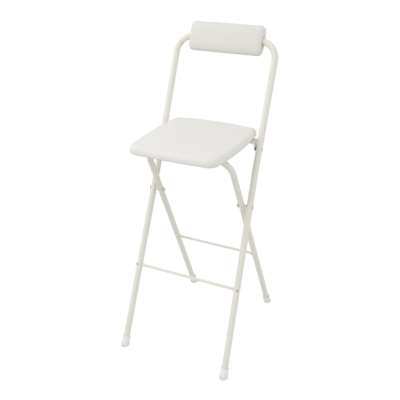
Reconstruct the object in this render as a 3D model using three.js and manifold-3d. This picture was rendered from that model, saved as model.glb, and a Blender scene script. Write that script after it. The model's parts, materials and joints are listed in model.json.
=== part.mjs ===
// Folding bar stool. One long bent tube is the backrest and the front legs, a shorter bent tube turns
// inside it as the rear legs, and a padded seat is hinged between the long tubes and flips up to fold.
// Millimetres, +Z up, front towards -Y, right as seen from the front is +X, origin on the floor.

import * as THREE from 'three';
import { mergeVertices } from 'three/addons/utils/BufferGeometryUtils.js';
import Module from 'manifold-3d';

const wasm = await Module();
wasm.setup();

// Fits
const fit = 0.3;                  // gap between two pieces that touch
const overrun = 5;                // how far a cutter runs past what it cuts
const weld = 0.0001;              // vertices nearer than this are one

// Long frame: backrest and front legs
const longTube = 19;
const longWall = 1.2;
const longFootHalf = 173.5;       // centre line of a leg to the middle plane, at the floor
const longTopHalf = 160;          // the same above the splay
const splayHeight = 565;          // where the front legs start to spread
const splayRadius = 600;
const longLeanDegrees = 23.6;     // backwards from upright
const backBarHeight = 905;        // centre line of the top bar
const longBend = 53;              // centre line radius of the top corners

// Rear-leg frame
const rearTube = 18;
const rearWall = 1.2;
const frameGapFoot = 10;          // clear space between the two frames, at the floor
const frameGapTop = 7.5;          // and at the seat bar
const footSpread = 420;           // front foot to rear foot
const rearLeanDegrees = 24.7;     // forwards from upright
const seatBarHeight = 636;        // centre line of the bar that carries the seat
const rearBend = 55;

// Cross rods
const rodDiameter = 8;
const footrestHeight = 243;
const braceHeight = 252.5;
const rodGrip = 3.5;              // how far a rod end goes past the centre line of its tube
const fillet = 2.5;               // weld fillet round each end of the rear brace
const filletLength = 5;

// Foot caps
const capHeight = 30;             // along the tube, from the floor
const capSole = 9;                // rubber under the tube end
const capWall = 2.6;
const capFlare = 1.3;             // wider at the floor
const capBead = 0.7;
const capBeadHeight = 4;

// Leg pivots
const pivotShank = 6;
const pivotHead = 13;
const pivotHeadHeight = 2.2;
const spacerDiameter = 11;
const washerDiameter = 15;
const washerThickness = 1.5;
const nutAcross = 10;             // across the flats
const nutHex = 3.6;
const nutDome = 3;
const nutDomeShare = 0.94;        // of the width across the flats

// Footrest screws
const rodScrewShank = 4;
const rodScrewHead = 8.5;
const rodScrewHeadHeight = 2.4;
const rodScrewDegrees = 25;       // turned outwards from the front of the leg
const rodScrewReach = 2;          // past the centre line of the rod
const socketAcross = 3;
const socketDepth = 1.4;

// Seat
const seatSideGap = 5;            // between the seat and the long tubes
const seatOverhang = 101;         // front edge before the seat bar
const seatTail = 58.5;            // rear edge behind the hinge
const frontCorner = 30;           // corner radii of the outline
const rearCorner = 20;
const sideBow = 15;               // how far each edge bows out
const frontBow = 5;
const rearBow = 18;
const edgeHeight = 24.5;          // of the cushion at its edge
const edgeRound = 7;
const crown = 6;                  // rise of the middle above the edge
const crownSpread = 1.5;          // exponent that crowds the rings towards the edge
const crownFullness = 2.4;        // exponent of the crown, larger is flatter in the middle
const evenShare = 0.8;            // of the smaller corner radius, inside which the outline shrinks evenly
const coverThickness = 1.2;
const hemWidth = 9;               // cover turned in under the board
const boardThickness = 9;
const liningThickness = 0.8;

// Seat hinge
const bracketPlate = 2;
const bracketLength = 40;
const bracketWidth = 38;
const earDrop = 23.2;             // from the flange's top face down to the rivet
const bracketBend = 4;
const bracketCorner = 5;
const earWidth = 18.5;
const rivetShank = 5;
const rivetHead = 9.5;
const rivetHeadHeight = 2;
const hingeWasherDiameter = 12;
const hingeWasherThickness = 1.5;

// Screws into the seat board
const woodScrewShank = 3.6;
const woodScrewHead = 7.6;
const woodScrewHeadHeight = 2.2;
const woodScrewLength = 11;
const woodScrewPoint = 3;
const bracketScrewEdge = 7;       // from the ends of the flange
const bracketScrewInset = 31;     // from the outer face of the ear

// Saddles that hold the seat bar
const saddleWidth = 26;
const saddleInset = 1;            // from where the bar starts to bend
const saddleWall = 4;
const saddleCrown = 2.3;          // above the channel
const saddleBase = 3;             // of the screw tabs
const saddleTab = 13;             // screw tab before and behind the walls
const saddleFrontDrop = 6;        // front wall below the centre line of the bar
const saddleLipRise = 5.5;        // rear lip ends this far above it
const saddleChamfer = 1.5;

// Backrest pad
const padOverBend = 8;            // how far the pad runs past where the bar starts to bend
const padUp = 43.5;               // above the bar, along the frame
const padDown = 41.5;
const padFrontFoam = 9.5;         // padding before the bar
const padBackFoam = 7.5;          // and behind it
const padEndRound = 11;
const padEndShare = 0.4;          // how much of the end rounding the thickness takes
const padBoreGap = 1;              // round the bar, which starts to bend inside the pad
const padSquareness = 3.2;        // exponent of the section

// Facets
const tubeArcs = 10;              // half the sides of a tube
const bendSteps = 10;
const splaySteps = 3;
const smallSides = 14;
const domeSteps = 3;
const hexSides = 6;
const arcSteps = 3;               // half the points on each arc of a flat outline
const sideSteps = 6;
const crownSteps = 5;
const padSides = 32;
const padEndSteps = 3;

const material = (look) => new THREE.MeshStandardMaterial({ flatShading: true, ...look });
const paintedSteel = material({ color: 0xe7e2d6, roughness: 0.42, metalness: 0 });
const zincSteel = material({ color: 0xb9bab8, roughness: 0.35, metalness: 0.8 });
const capPlastic = material({ color: 0xecedea, roughness: 0.5, metalness: 0 });
const blackNylon = material({ color: 0x1c1c1d, roughness: 0.55, metalness: 0 });
const fabric = material({ color: 0xe5e3de, roughness: 0.85, metalness: 0 });
const foam = material({ color: 0xefe9d6, roughness: 0.95, metalness: 0 });
const plywood = material({ color: 0xc8a878, roughness: 0.7, metalness: 0 });
const felt = material({ color: 0xd6d4cf, roughness: 0.95, metalness: 0 });

// Places worked out from the sizes above
const sides = [['left', -1], ['right', 1]];
const alongX = new THREE.Vector3(1, 0, 0);
const alongY = new THREE.Vector3(0, 1, 0);
const alongZ = new THREE.Vector3(0, 0, 1);
const longLean = THREE.MathUtils.degToRad(longLeanDegrees);
const longSlope = Math.tan(longLean);
const rearSlope = Math.tan(THREE.MathUtils.degToRad(rearLeanDegrees));
const longRadius = longTube / 2;
const rearRadius = rearTube / 2;
const rodRadius = rodDiameter / 2;
const longSplay = (longFootHalf - longTopHalf) / splayHeight;
const rearFootHalf = longFootHalf - longRadius - rearRadius - frameGapFoot;
const rearTopHalf = longTopHalf - longRadius - rearRadius - frameGapTop;
const rearSplay = (rearFootHalf - rearTopHalf) / seatBarHeight;
const pivotZ = footSpread / (longSlope + rearSlope);
const pivotY = pivotZ * longSlope;
const seatBarY = footSpread - seatBarHeight * rearSlope;
const saddleInner = rearRadius + fit;
const saddleOuter = saddleInner + saddleWall;
const saddleEnd = saddleOuter + saddleTab;
const saddleAside = rearTopHalf - rearBend - saddleInset - saddleWidth / 2;
const saddleTop = seatBarHeight + saddleInner + saddleCrown;
const liningBottom = saddleTop + fit;
const boardBottom = liningBottom + liningThickness + fit;
const foamBottom = boardBottom + boardThickness + fit;
const seatUnderside = boardBottom - fit - coverThickness;
const flangeTop = seatUnderside - fit;
const hingeHeight = flangeTop - earDrop;
const hingeY = hingeHeight * longSlope;
const seatFront = seatBarY - seatOverhang;
const seatDepth = hingeY + seatTail - seatFront;
const seatMiddle = seatFront + seatDepth / 2;
const seatHalfWidth = longTopHalf - longRadius - seatSideGap;
const hemInset = edgeRound + hemWidth;
const boardInset = edgeRound + coverThickness + fit;
const bracketScrewPitch = bracketLength - bracketScrewEdge * 2;
const padHalfWidth = longTopHalf - longBend + padOverBend;
const padFront = longRadius + padFrontFoam;
const padBack = longRadius + padBackFoam;

const longHalf = (z) => longTopHalf + longSplay * Math.max(0, splayHeight - z);
const rearHalf = (z) => rearTopHalf + rearSplay * (seatBarHeight - z);
const longPoint = (side, z) => new THREE.Vector3(side * longHalf(z), z * longSlope, z);
const rearPoint = (side, z) => new THREE.Vector3(side * rearHalf(z), footSpread - z * rearSlope, z);

// A closed three.js geometry as a solid whose faces point out
function solid(geometry) {
  const bare = new THREE.BufferGeometry();
  bare.setAttribute('position', geometry.getAttribute('position'));
  bare.setIndex(geometry.index);
  const merged = mergeVertices(bare, weld);
  const positions = merged.getAttribute('position').array;
  const corner = (i) => new THREE.Vector3().fromArray(positions, i * 3);
  const triangles = [];
  let volume = 0;
  for (let i = 0; i < merged.index.count; i += 3) {
    const [a, b, c] = merged.index.array.slice(i, i + 3);
    if (a === b || b === c || c === a) continue;
    triangles.push(a, b, c);
    volume += corner(a).dot(corner(b).cross(corner(c)));
  }
  if (volume < 0) triangles.reverse();
  return new wasm.Manifold(new wasm.Mesh({
    numProp: 3,
    vertProperties: Float32Array.from(positions),
    triVerts: Uint32Array.from(triangles),
  }));
}

function geometryOf(body) {
  const mesh = body.getMesh();
  const geometry = new THREE.BufferGeometry();
  geometry.setAttribute('position', new THREE.BufferAttribute(Float32Array.from(mesh.vertProperties), 3));
  geometry.setIndex(new THREE.BufferAttribute(Uint32Array.from(mesh.triVerts), 1));
  geometry.computeVertexNormals();
  return geometry;
}

function add(parent, name, body, look) {
  const mesh = new THREE.Mesh(geometryOf(body), look);
  mesh.name = name;
  parent.add(mesh);
  return mesh;
}

// Solids of revolution about X. A profile point is [distance along X, radius].
function turned(profile, count = smallSides) {
  const points = profile.map(([along, radius]) => new THREE.Vector2(radius, along));
  return solid(new THREE.LatheGeometry(points, count).rotateZ(-Math.PI / 2));
}

const rod = (from, to, radius) => turned([[from, 0], [from, radius], [to, radius], [to, 0]]);

const ring = (from, to, bore, radius) => turned(
  [[from, bore], [from, radius], [to, radius], [to, bore], [from, bore]],
);

// Profile of a low dome, from its rim to its top
function dome(base, radius, height) {
  const points = [];
  for (let i = 0; i < domeSteps; i += 1) {
    const angle = (i / domeSteps) * Math.PI / 2;
    points.push([base + height * Math.sin(angle), radius * Math.cos(angle)]);
  }
  return [...points, [base + height, 0]];
}

// A solid made along X, turned to a direction and moved to a place
function placed(body, place, direction) {
  const turn = new THREE.Quaternion().setFromUnitVectors(alongX, direction);
  const matrix = new THREE.Matrix4().compose(place, turn, new THREE.Vector3(1, 1, 1));
  return solid(geometryOf(body).applyMatrix4(matrix));
}

// A flat outline given thickness: its x and y run along two axes, its thickness along the third
function plate(shape, thickness, xAxis, yAxis, start, steps = arcSteps) {
  const geometry = new THREE.ExtrudeGeometry(shape, {
    depth: thickness, bevelEnabled: false, curveSegments: steps,
  });
  const normal = xAxis.clone().cross(yAxis);
  geometry.translate(0, 0, start);
  return solid(geometry.applyMatrix4(new THREE.Matrix4().makeBasis(xAxis, yAxis, normal)));
}

// Centre line of a bent tube: straight runs and round corners, with one ring at each station
class TubeLine extends THREE.Curve {
  constructor(corners, radii, steps) {
    super();
    const last = corners.length - 1;
    const heading = (i) => corners[i + 1].clone().sub(corners[i]).normalize();
    this.places = [corners[0]];
    this.headings = [heading(0)];
    for (let i = 1; i < last; i += 1) {
      this.addCorner(corners[i], heading(i - 1), heading(i), radii[i - 1], steps[i - 1]);
    }
    this.places.push(corners[last]);
    this.headings.push(heading(last - 1));
    this.steps = this.places.length - 1;
  }

  addCorner(corner, into, away, radius, steps) {
    const turn = into.angleTo(away);
    const inward = into.clone().cross(away).normalize().cross(into);
    const middle = corner.clone()
      .addScaledVector(into, -radius * Math.tan(turn / 2))
      .addScaledVector(inward, radius);
    for (let k = 0; k <= steps; k += 1) {
      const cos = Math.cos(turn * k / steps);
      const sin = Math.sin(turn * k / steps);
      this.places.push(middle.clone()
        .addScaledVector(inward, -radius * cos)
        .addScaledVector(into, radius * sin));
      this.headings.push(into.clone().multiplyScalar(cos).addScaledVector(inward, sin));
    }
  }

  getUtoTmapping(u) {
    return u;
  }

  between(list, t, target) {
    const i = Math.floor(Math.min(t * this.steps, this.steps - 1));
    return target.copy(list[i]).lerp(list[i + 1], t * this.steps - i);
  }

  getPoint(t, target = new THREE.Vector3()) {
    return this.between(this.places, t, target);
  }

  getTangent(t, target = new THREE.Vector3()) {
    return this.between(this.headings, t, target).normalize();
  }
}

function sweep(line, radius) {
  const section = new THREE.Shape().absarc(0, 0, radius, 0, Math.PI * 2);
  return solid(new THREE.ExtrudeGeometry(section, {
    steps: line.steps, extrudePath: line, curveSegments: tubeArcs,
  }));
}

// A bent tube, open at both ends
function bentTube(corners, radii, steps, radius, wall) {
  const line = new TubeLine(corners, radii, steps);
  const longer = corners.map((corner) => corner.clone());
  longer[0].addScaledVector(line.headings[0], -overrun);
  longer[longer.length - 1].addScaledVector(line.headings[line.steps], overrun);
  return sweep(line, radius).subtract(sweep(new TubeLine(longer, radii, steps), radius - wall));
}

// Corners of a tube that runs from one foot cap over its bar to the other
function frameCorners(point, heights) {
  const leg = (side) => {
    const corners = heights.map((z) => point(side, z));
    const up = corners[1].clone().sub(corners[0]).normalize();
    corners[0].addScaledVector(up, capSole + fit);
    return corners;
  };
  return [...leg(-1), ...leg(1).reverse()];
}

// A hole through both walls of a tube, along X
const crossHole = (middle, reach, radius) => placed(rod(-reach, reach, radius + fit), middle, alongX);

// Direction of a footrest screw: square to the leg, turned outwards from its front
function rodScrewHeading(side) {
  const turn = THREE.MathUtils.degToRad(rodScrewDegrees);
  const front = new THREE.Vector3(0, -1, longSlope).normalize();
  return front.multiplyScalar(Math.cos(turn)).addScaledVector(alongX, side * Math.sin(turn));
}

function longFrameTube() {
  const corners = frameCorners(longPoint, [0, splayHeight, backBarHeight]);
  const radii = [splayRadius, longBend, longBend, splayRadius];
  const steps = [splaySteps, bendSteps, bendSteps, splaySteps];
  let tube = bentTube(corners, radii, steps, longRadius, longWall);
  for (const [, side] of sides) {
    const rodPlace = longPoint(side, footrestHeight);
    const rodHole = rod(-longTube, 0, rodRadius + fit);
    const screwHole = rod(0, longTube, rodScrewShank / 2 + fit);
    tube = tube
      .subtract(crossHole(longPoint(side, pivotZ), longTube, pivotShank / 2))
      .subtract(crossHole(longPoint(side, hingeHeight), longTube, rivetShank / 2))
      .subtract(placed(rodHole, rodPlace, new THREE.Vector3(side, 0, 0)))
      .subtract(placed(screwHole, rodPlace, rodScrewHeading(side)));
  }
  return tube;
}

function rearLegTube() {
  const corners = frameCorners(rearPoint, [0, seatBarHeight]);
  let tube = bentTube(corners, [rearBend, rearBend], [bendSteps, bendSteps], rearRadius, rearWall);
  for (const [, side] of sides) {
    const rodHole = rod(-rearTube, 0, rodRadius + fit);
    tube = tube
      .subtract(crossHole(rearPoint(side, pivotZ), rearTube, pivotShank / 2))
      .subtract(placed(rodHole, rearPoint(side, braceHeight), new THREE.Vector3(side, 0, 0)));
  }
  return tube;
}

// Foot cap: a flared sleeve with a thick sole, cut flat on the floor under its own middle
function footCap(foot, next, tubeRadius) {
  const rim = tubeRadius + capWall;
  const base = rim + capFlare;
  const bore = tubeRadius + fit;
  const beadFrom = capHeight - capBeadHeight;
  const sleeve = turned([
    [-capHeight, 0], [-capHeight, base], [0, base], [capHeight / 2, rim], [beadFrom, rim],
    [beadFrom + capBead, rim + capBead], [capHeight - capBead, rim + capBead],
    [capHeight, rim], [capHeight, bore], [capSole, bore], [capSole, 0],
  ], tubeArcs * 2);
  const up = next.clone().sub(foot).normalize();
  const below = new THREE.BoxGeometry(capHeight * 4, capHeight * 4, capHeight * 2);
  return placed(sleeve, new THREE.Vector3(), up).subtract(solid(below.translate(0, 0, -capHeight)));
}

function footrestRod() {
  const end = longHalf(footrestHeight) + rodGrip;
  let bar = rod(-end, end, rodRadius);
  for (const [, side] of sides) {
    const place = new THREE.Vector3(side * longHalf(footrestHeight), 0, 0);
    const hole = rod(-rodScrewReach - fit, rodDiameter, rodScrewShank / 2 + fit);
    bar = bar.subtract(placed(hole, place, rodScrewHeading(side)));
  }
  return bar;
}

// The rear brace ends inside the leg tubes, with a weld fillet against each
function braceRod() {
  const end = rearHalf(braceHeight) + rodGrip;
  const standOff = (rodRadius + fillet) * rearSplay;
  const weldFace = rearHalf(braceHeight) - rearRadius - fit - standOff;
  const half = [
    [weldFace - filletLength, rodRadius], [weldFace - fillet, rodRadius + fillet / 4],
    [weldFace, rodRadius + fillet], [weldFace, rodRadius], [end, rodRadius], [end, 0],
  ];
  const otherHalf = half.map(([along, radius]) => [-along, radius]).reverse();
  return turned([...otherHalf, ...half]);
}

function rodScrew() {
  const face = longRadius + fit;
  const screw = turned([
    [-rodScrewReach, 0], [-rodScrewReach, rodScrewShank / 2], [face, rodScrewShank / 2],
    ...dome(face, rodScrewHead / 2, rodScrewHeadHeight),
  ]);
  const corner = socketAcross / Math.sqrt(3);
  const socket = new THREE.CylinderGeometry(corner, corner, overrun, hexSides);
  const floor = face + rodScrewHeadHeight - socketDepth;
  return screw.subtract(solid(socket.rotateZ(Math.PI / 2).translate(floor + overrun / 2, 0, 0)));
}

// Pivot pieces lie along X, at their distances from the middle plane. A flat face of some radius
// that seats on a splayed tube stands off by the splay too.
const longOutside = (radius) => longHalf(pivotZ) + longRadius + fit + radius * longSplay;
const longInside = (radius) => longHalf(pivotZ) - longRadius - fit - radius * longSplay;
const rearOutside = (radius) => rearHalf(pivotZ) + rearRadius + fit + radius * rearSplay;
const rearInside = (radius) => rearHalf(pivotZ) - rearRadius - fit - radius * rearSplay;
const washerOut = rearInside(washerDiameter / 2);
const washerIn = washerOut - washerThickness;
const nutFace = washerIn - fit;
const nutEnd = nutFace - nutHex;
const pivotHole = pivotShank / 2 + fit;

function pivotBolt() {
  const face = longOutside(pivotHead / 2);
  return turned([
    [nutEnd, 0], [nutEnd, pivotShank / 2], [face, pivotShank / 2],
    ...dome(face, pivotHead / 2, pivotHeadHeight),
  ]);
}

function pivotSpacer() {
  const radius = spacerDiameter / 2;
  return ring(rearOutside(radius), longInside(radius), pivotHole, radius);
}

function pivotNut() {
  const corner = nutAcross / Math.sqrt(3);
  const hex = new THREE.CylinderGeometry(corner, corner, nutHex, hexSides).rotateZ(Math.PI / 2);
  const domeRadius = nutDomeShare * nutAcross / 2;
  const middle = nutFace - nutHex / 2;
  const cap = turned([[middle, 0], [middle, domeRadius], ...dome(nutEnd, domeRadius, -nutDome)]);
  const bore = rod(nutEnd - fit, nutFace + overrun, pivotHole);
  return solid(hex.translate(middle, 0, 0)).add(cap).subtract(bore);
}

// Seat hinge pieces, also along X from the middle plane
const hingeWasherOut = longTopHalf - longRadius - fit;
const hingeWasherIn = hingeWasherOut - hingeWasherThickness;
const earOut = hingeWasherIn - fit;
const earIn = earOut - bracketPlate;

function hingeRivet() {
  const headIn = earIn - fit;
  const headOut = longTopHalf + longRadius + fit;
  return turned([
    ...dome(headIn, rivetHead / 2, -rivetHeadHeight).reverse(), [headIn, rivetShank / 2],
    [headOut, rivetShank / 2], ...dome(headOut, rivetHead / 2, rivetHeadHeight),
  ]);
}

// Bracket: a flange under the board and a round-ended ear beside the tube, bent from one plate.
// It is drawn from the rivet, so z is zero there, and the left one is turned half round.
function hingeBracket() {
  const top = flangeTop - hingeHeight;
  const under = top - bracketPlate;
  const bendX = earOut - bracketBend;
  const bendZ = top - bracketBend;
  const flangeEnd = earOut - bracketWidth;
  const angle = new THREE.Shape();
  angle.moveTo(earIn, -earWidth / 2);
  angle.lineTo(earOut, -earWidth / 2);
  angle.lineTo(earOut, bendZ);
  angle.absarc(bendX, bendZ, bracketBend, 0, Math.PI / 2);
  angle.lineTo(flangeEnd, top);
  angle.lineTo(flangeEnd, under);
  angle.lineTo(bendX, under);
  angle.absarc(bendX, bendZ, bracketBend - bracketPlate, Math.PI / 2, 0, true);
  const bent = plate(angle, bracketLength, alongX, alongZ, -bracketLength / 2);

  const side = new THREE.Shape();
  side.moveTo(-bracketLength, top + overrun);
  side.lineTo(-bracketLength, bendZ);
  side.lineTo(-earWidth / 2, bendZ);
  side.absarc(0, 0, earWidth / 2, Math.PI, Math.PI * 2);
  side.lineTo(earWidth / 2, bendZ);
  side.lineTo(bracketLength, bendZ);
  side.lineTo(bracketLength, top + overrun);
  const tongue = plate(side, bracketWidth + overrun, alongY, alongZ, flangeEnd);

  const halfLength = bracketLength / 2;
  const roundEnd = new THREE.Shape();
  roundEnd.moveTo(earOut + overrun, -halfLength);
  roundEnd.lineTo(earOut + overrun, halfLength);
  roundEnd.absarc(flangeEnd + bracketCorner, halfLength - bracketCorner, bracketCorner,
    Math.PI / 2, Math.PI);
  roundEnd.absarc(flangeEnd + bracketCorner, -halfLength + bracketCorner, bracketCorner,
    Math.PI, Math.PI * 1.5);
  const plan = plate(roundEnd, bracketLength * 2, alongX, alongY, -bracketLength);

  let bracket = bent.intersect(tongue).intersect(plan);
  bracket = bracket.subtract(rod(flangeEnd, earOut + overrun, rivetShank / 2 + fit));
  for (const share of [-0.5, 0.5]) {
    const place = new THREE.Vector3(earOut - bracketScrewInset, bracketScrewPitch * share, top);
    bracket = bracket.subtract(screwHole(place));
  }
  return bracket;
}

// Wood screws point up, with their heads below
const screwHole = (place) => placed(
  rod(-bracketLength, woodScrewLength + fit, woodScrewShank / 2 + fit), place, alongZ);

const woodScrew = () => turned([
  ...dome(0, woodScrewHead / 2, -woodScrewHeadHeight).reverse(), [0, woodScrewShank / 2],
  [woodScrewLength - woodScrewPoint, woodScrewShank / 2], [woodScrewLength, 0],
]);

// Saddle: tabs for two screws and a channel for the bar. The front wall is deep and the rear lip
// short, so the bar leaves downwards and backwards when the seat is lifted.
const saddleScrewFace = saddleTop - saddleBase - fit;
const saddleScrewOffsets = [-saddleOuter - saddleTab / 2, saddleOuter + saddleTab / 2];
const bracketScrewFace = flangeTop - bracketPlate - fit;

function barSaddle() {
  const top = saddleTop - seatBarHeight;
  const under = top - saddleBase;
  const lipAngle = Math.asin(saddleLipRise / saddleInner);
  const profile = new THREE.Shape();
  profile.moveTo(-saddleEnd, top);
  profile.lineTo(-saddleEnd, under);
  profile.lineTo(-saddleOuter, under);
  profile.lineTo(-saddleOuter, -saddleFrontDrop + saddleChamfer);
  profile.lineTo(-saddleOuter + saddleChamfer, -saddleFrontDrop);
  profile.lineTo(-saddleInner, -saddleFrontDrop);
  profile.absarc(0, 0, saddleInner, Math.PI, lipAngle, true);
  profile.lineTo(saddleOuter - saddleChamfer, saddleLipRise);
  profile.lineTo(saddleOuter, saddleLipRise + saddleChamfer);
  profile.lineTo(saddleOuter, under);
  profile.lineTo(saddleEnd, under);
  profile.lineTo(saddleEnd, top);
  let saddle = plate(profile, saddleWidth, alongY, alongZ, -saddleWidth / 2, smallSides / 2);
  for (const y of saddleScrewOffsets) {
    saddle = saddle.subtract(screwHole(new THREE.Vector3(0, y, top)));
  }
  return saddle;
}

// Every wood screw: its name and the middle of its head face
const screwPlaces = sides.flatMap(([name, side]) => [
  ...[['front', -0.5], ['rear', 0.5]].map(([end, share]) => [
    `bracket_screw_${name}_${end}`,
    new THREE.Vector3(
      side * (earOut - bracketScrewInset), hingeY + bracketScrewPitch * share, bracketScrewFace),
  ]),
  ...[['front', 0], ['rear', 1]].map(([end, i]) => [
    `saddle_screw_${name}_${end}`,
    new THREE.Vector3(side * saddleAside, seatBarY + saddleScrewOffsets[i], saddleScrewFace),
  ]),
]);

const drilled = (body) => screwPlaces.reduce((left, [, place]) => left.subtract(screwHole(place)), body);

// Seat outline: four shallow arcs and four corner arcs, all tangent
const halfDepth = seatDepth / 2;
const bowRadius = (halfLength, bow) => (halfLength ** 2 + bow ** 2) / (2 * bow);
const sideRadius = bowRadius(halfDepth, sideBow);
const sideCentre = new THREE.Vector2(seatHalfWidth - sideRadius, 0);

// One end of the outline, drawn as a rear end: its long arc, and the corner arc that joins it on the right
function seatEnd(bow, corner) {
  const radius = bowRadius(seatHalfWidth, bow);
  const centre = new THREE.Vector2(0, halfDepth - radius);
  const toSide = sideRadius - corner;
  const toEnd = radius - corner;
  const apart = sideCentre.distanceTo(centre);
  const along = (toSide ** 2 - toEnd ** 2 + apart ** 2) / (2 * apart);
  const across = Math.sqrt(toSide ** 2 - along ** 2);
  const unit = centre.clone().sub(sideCentre).normalize();
  const square = new THREE.Vector2(-unit.y, unit.x);
  const at = sideCentre.clone().addScaledVector(unit, along).addScaledVector(square, across);
  return {
    radius,
    centre,
    corner,
    at,
    sideAngle: at.clone().sub(sideCentre).angle(),
    endAngle: at.clone().sub(centre).angle(),
  };
}

const rearEnd = seatEnd(rearBow, rearCorner);
const frontEnd = seatEnd(frontBow, frontCorner);

function seatShape(inset) {
  const half = Math.PI;
  const whole = Math.PI * 2;
  const shape = new THREE.Shape();
  const arc = (atX, atY, radius, from, to) => shape.absarc(atX, atY, radius - inset, from, to);
  arc(sideCentre.x, 0, sideRadius, -frontEnd.sideAngle, rearEnd.sideAngle);
  arc(rearEnd.at.x, rearEnd.at.y, rearCorner, rearEnd.sideAngle, rearEnd.endAngle);
  arc(0, rearEnd.centre.y, rearEnd.radius, rearEnd.endAngle, half - rearEnd.endAngle);
  arc(-rearEnd.at.x, rearEnd.at.y, rearCorner, half - rearEnd.endAngle, half - rearEnd.sideAngle);
  arc(-sideCentre.x, 0, sideRadius, half - rearEnd.sideAngle, half + frontEnd.sideAngle);
  arc(-frontEnd.at.x, -frontEnd.at.y, frontCorner, half + frontEnd.sideAngle, half + frontEnd.endAngle);
  arc(0, -frontEnd.centre.y, frontEnd.radius, half + frontEnd.endAngle, whole - frontEnd.endAngle);
  arc(frontEnd.at.x, -frontEnd.at.y, frontCorner, whole - frontEnd.endAngle, whole - frontEnd.sideAngle);
  return shape;
}

const seatPlate = (inset, thickness, bottom) => plate(
  seatShape(inset), thickness, alongX, alongY, bottom,
).translate([0, seatMiddle, 0]);

// One ring of the cushion. Near the corner radius the outline stops shrinking evenly: it shrinks in
// proportion from there on, and grows rounder towards the middle.
function seatRing(inset, z) {
  const even = Math.min(inset, Math.min(frontCorner, rearCorner) * evenShare);
  const radius = seatHalfWidth - even;
  const scale = (seatHalfWidth - inset) / radius;
  const points = seatShape(even).getPoints(arcSteps)
    .filter((point, i, all) => point.distanceTo(all.at(i - 1)) > weld);
  return points.map((point) => {
    const rounder = THREE.MathUtils.lerp(radius / point.length(), 1, scale);
    point.multiplyScalar(scale * rounder);
    return new THREE.Vector3(point.x, point.y + seatMiddle, z);
  });
}

// Closed skin over rings of equal count, ending on a middle point at each end, or closed as a loop
function loft(rings, peaks) {
  const count = rings[0].length;
  const positions = rings.flat().flatMap((point) => point.toArray());
  const index = [];
  const band = (low, high) => {
    for (let i = 0; i < count; i += 1) {
      const next = (i + 1) % count;
      index.push(low + i, low + next, high + next, low + i, high + next, high + i);
    }
  };
  for (let r = 1; r < rings.length; r += 1) band((r - 1) * count, r * count);
  const lastRing = (rings.length - 1) * count;
  if (!peaks) band(lastRing, 0);
  for (const [start, peak, turn] of peaks ? [[0, peaks[0], 1], [lastRing, peaks[1], 0]] : []) {
    const centre = positions.length / 3;
    positions.push(...peak.toArray());
    for (let i = 0; i < count; i += 1) {
      const next = (i + 1) % count;
      index.push(start + (turn ? next : i), start + (turn ? i : next), centre);
    }
  }
  const geometry = new THREE.BufferGeometry();
  geometry.setAttribute('position', new THREE.Float32BufferAttribute(positions, 3));
  geometry.setIndex(index);
  return solid(geometry);
}

// Rings up the round edge and over the crown of the cushion, all drawn in by one shrink
function cushionRings(shrink) {
  const bottom = seatUnderside + shrink;
  const top = seatUnderside + edgeHeight - shrink;
  const rings = [];
  for (let i = 0; i <= sideSteps; i += 1) {
    const angle = Math.PI * (i / sideSteps - 0.5);
    const inset = shrink + edgeRound * (1 - Math.cos(angle));
    rings.push(seatRing(inset, bottom + (top - bottom) * (1 + Math.sin(angle)) / 2));
  }
  const flat = seatHalfWidth - edgeRound - shrink;
  for (let i = 1; i < crownSteps; i += 1) {
    const share = (i / crownSteps) ** crownSpread;
    const rise = crown * (1 - (1 - share) ** crownFullness);
    rings.push(seatRing(shrink + edgeRound + flat * share, top + rise));
  }
  return rings;
}

const cushionPeak = (shrink) => new THREE.Vector3(
  0, seatMiddle, seatUnderside + edgeHeight + crown - shrink,
);

// Cover: one skin over the edge and the crown, turned in under the board as a hem
function seatCover() {
  const hem = [coverThickness, 0].map((rise) => seatRing(hemInset, seatUnderside + rise));
  const rings = [...cushionRings(coverThickness).reverse(), ...hem, ...cushionRings(0)];
  return loft(rings, [cushionPeak(coverThickness), cushionPeak(0)]);
}

// Foam: fills the cover over the board and round its edge
function seatFoam() {
  const shrink = coverThickness + fit;
  const floor = new THREE.Vector3(0, seatMiddle, seatUnderside + shrink);
  const filling = loft(cushionRings(shrink), [floor, cushionPeak(shrink)]);
  const below = seatUnderside - overrun;
  return filling.subtract(seatPlate(boardInset - fit, foamBottom - below, below));
}

const seatBoard = () => drilled(seatPlate(boardInset, boardThickness, boardBottom));

const seatLining = () => drilled(seatPlate(hemInset + fit, liningThickness, liningBottom));

// Backrest pad, drawn from the middle of the top bar with z along the frame and front towards -y
function padRing(x, shrink, rounding) {
  const inset = shrink + padEndRound * rounding;
  const points = [];
  for (let i = 0; i < padSides; i += 1) {
    const angle = (i / padSides) * Math.PI * 2;
    const cos = Math.cos(angle);
    const sin = Math.sin(angle);
    const reach = (Math.abs(cos) ** padSquareness + Math.abs(sin) ** padSquareness) ** (-1 / padSquareness);
    const half = (cos > 0 ? padFront : padBack) - shrink - padEndRound * padEndShare * rounding;
    const height = (sin > 0 ? padUp : padDown) - inset;
    points.push(new THREE.Vector3(x, -half * reach * cos, height * reach * sin));
  }
  return points;
}

function boreRing(x) {
  const radius = longRadius + padBoreGap;
  const points = [];
  for (let i = 0; i < padSides; i += 1) {
    const angle = (i / padSides) * Math.PI * 2;
    points.push(new THREE.Vector3(x, -radius * Math.cos(angle), radius * Math.sin(angle)));
  }
  return points;
}

// Rings from the bore at one end over the pad to the bore at the other
function padRings(shrink) {
  const half = [];
  for (let i = 0; i <= padEndSteps; i += 1) {
    const angle = (i / padEndSteps) * Math.PI / 2;
    half.push([padHalfWidth - shrink - padEndRound * (1 - Math.sin(angle)), 1 - Math.cos(angle)]);
  }
  const end = padHalfWidth - shrink;
  return [
    boreRing(-end),
    ...half.map(([x, rounding]) => padRing(-x, shrink, rounding)).reverse(),
    ...half.map(([x, rounding]) => padRing(x, shrink, rounding)),
    boreRing(end),
  ];
}

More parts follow.
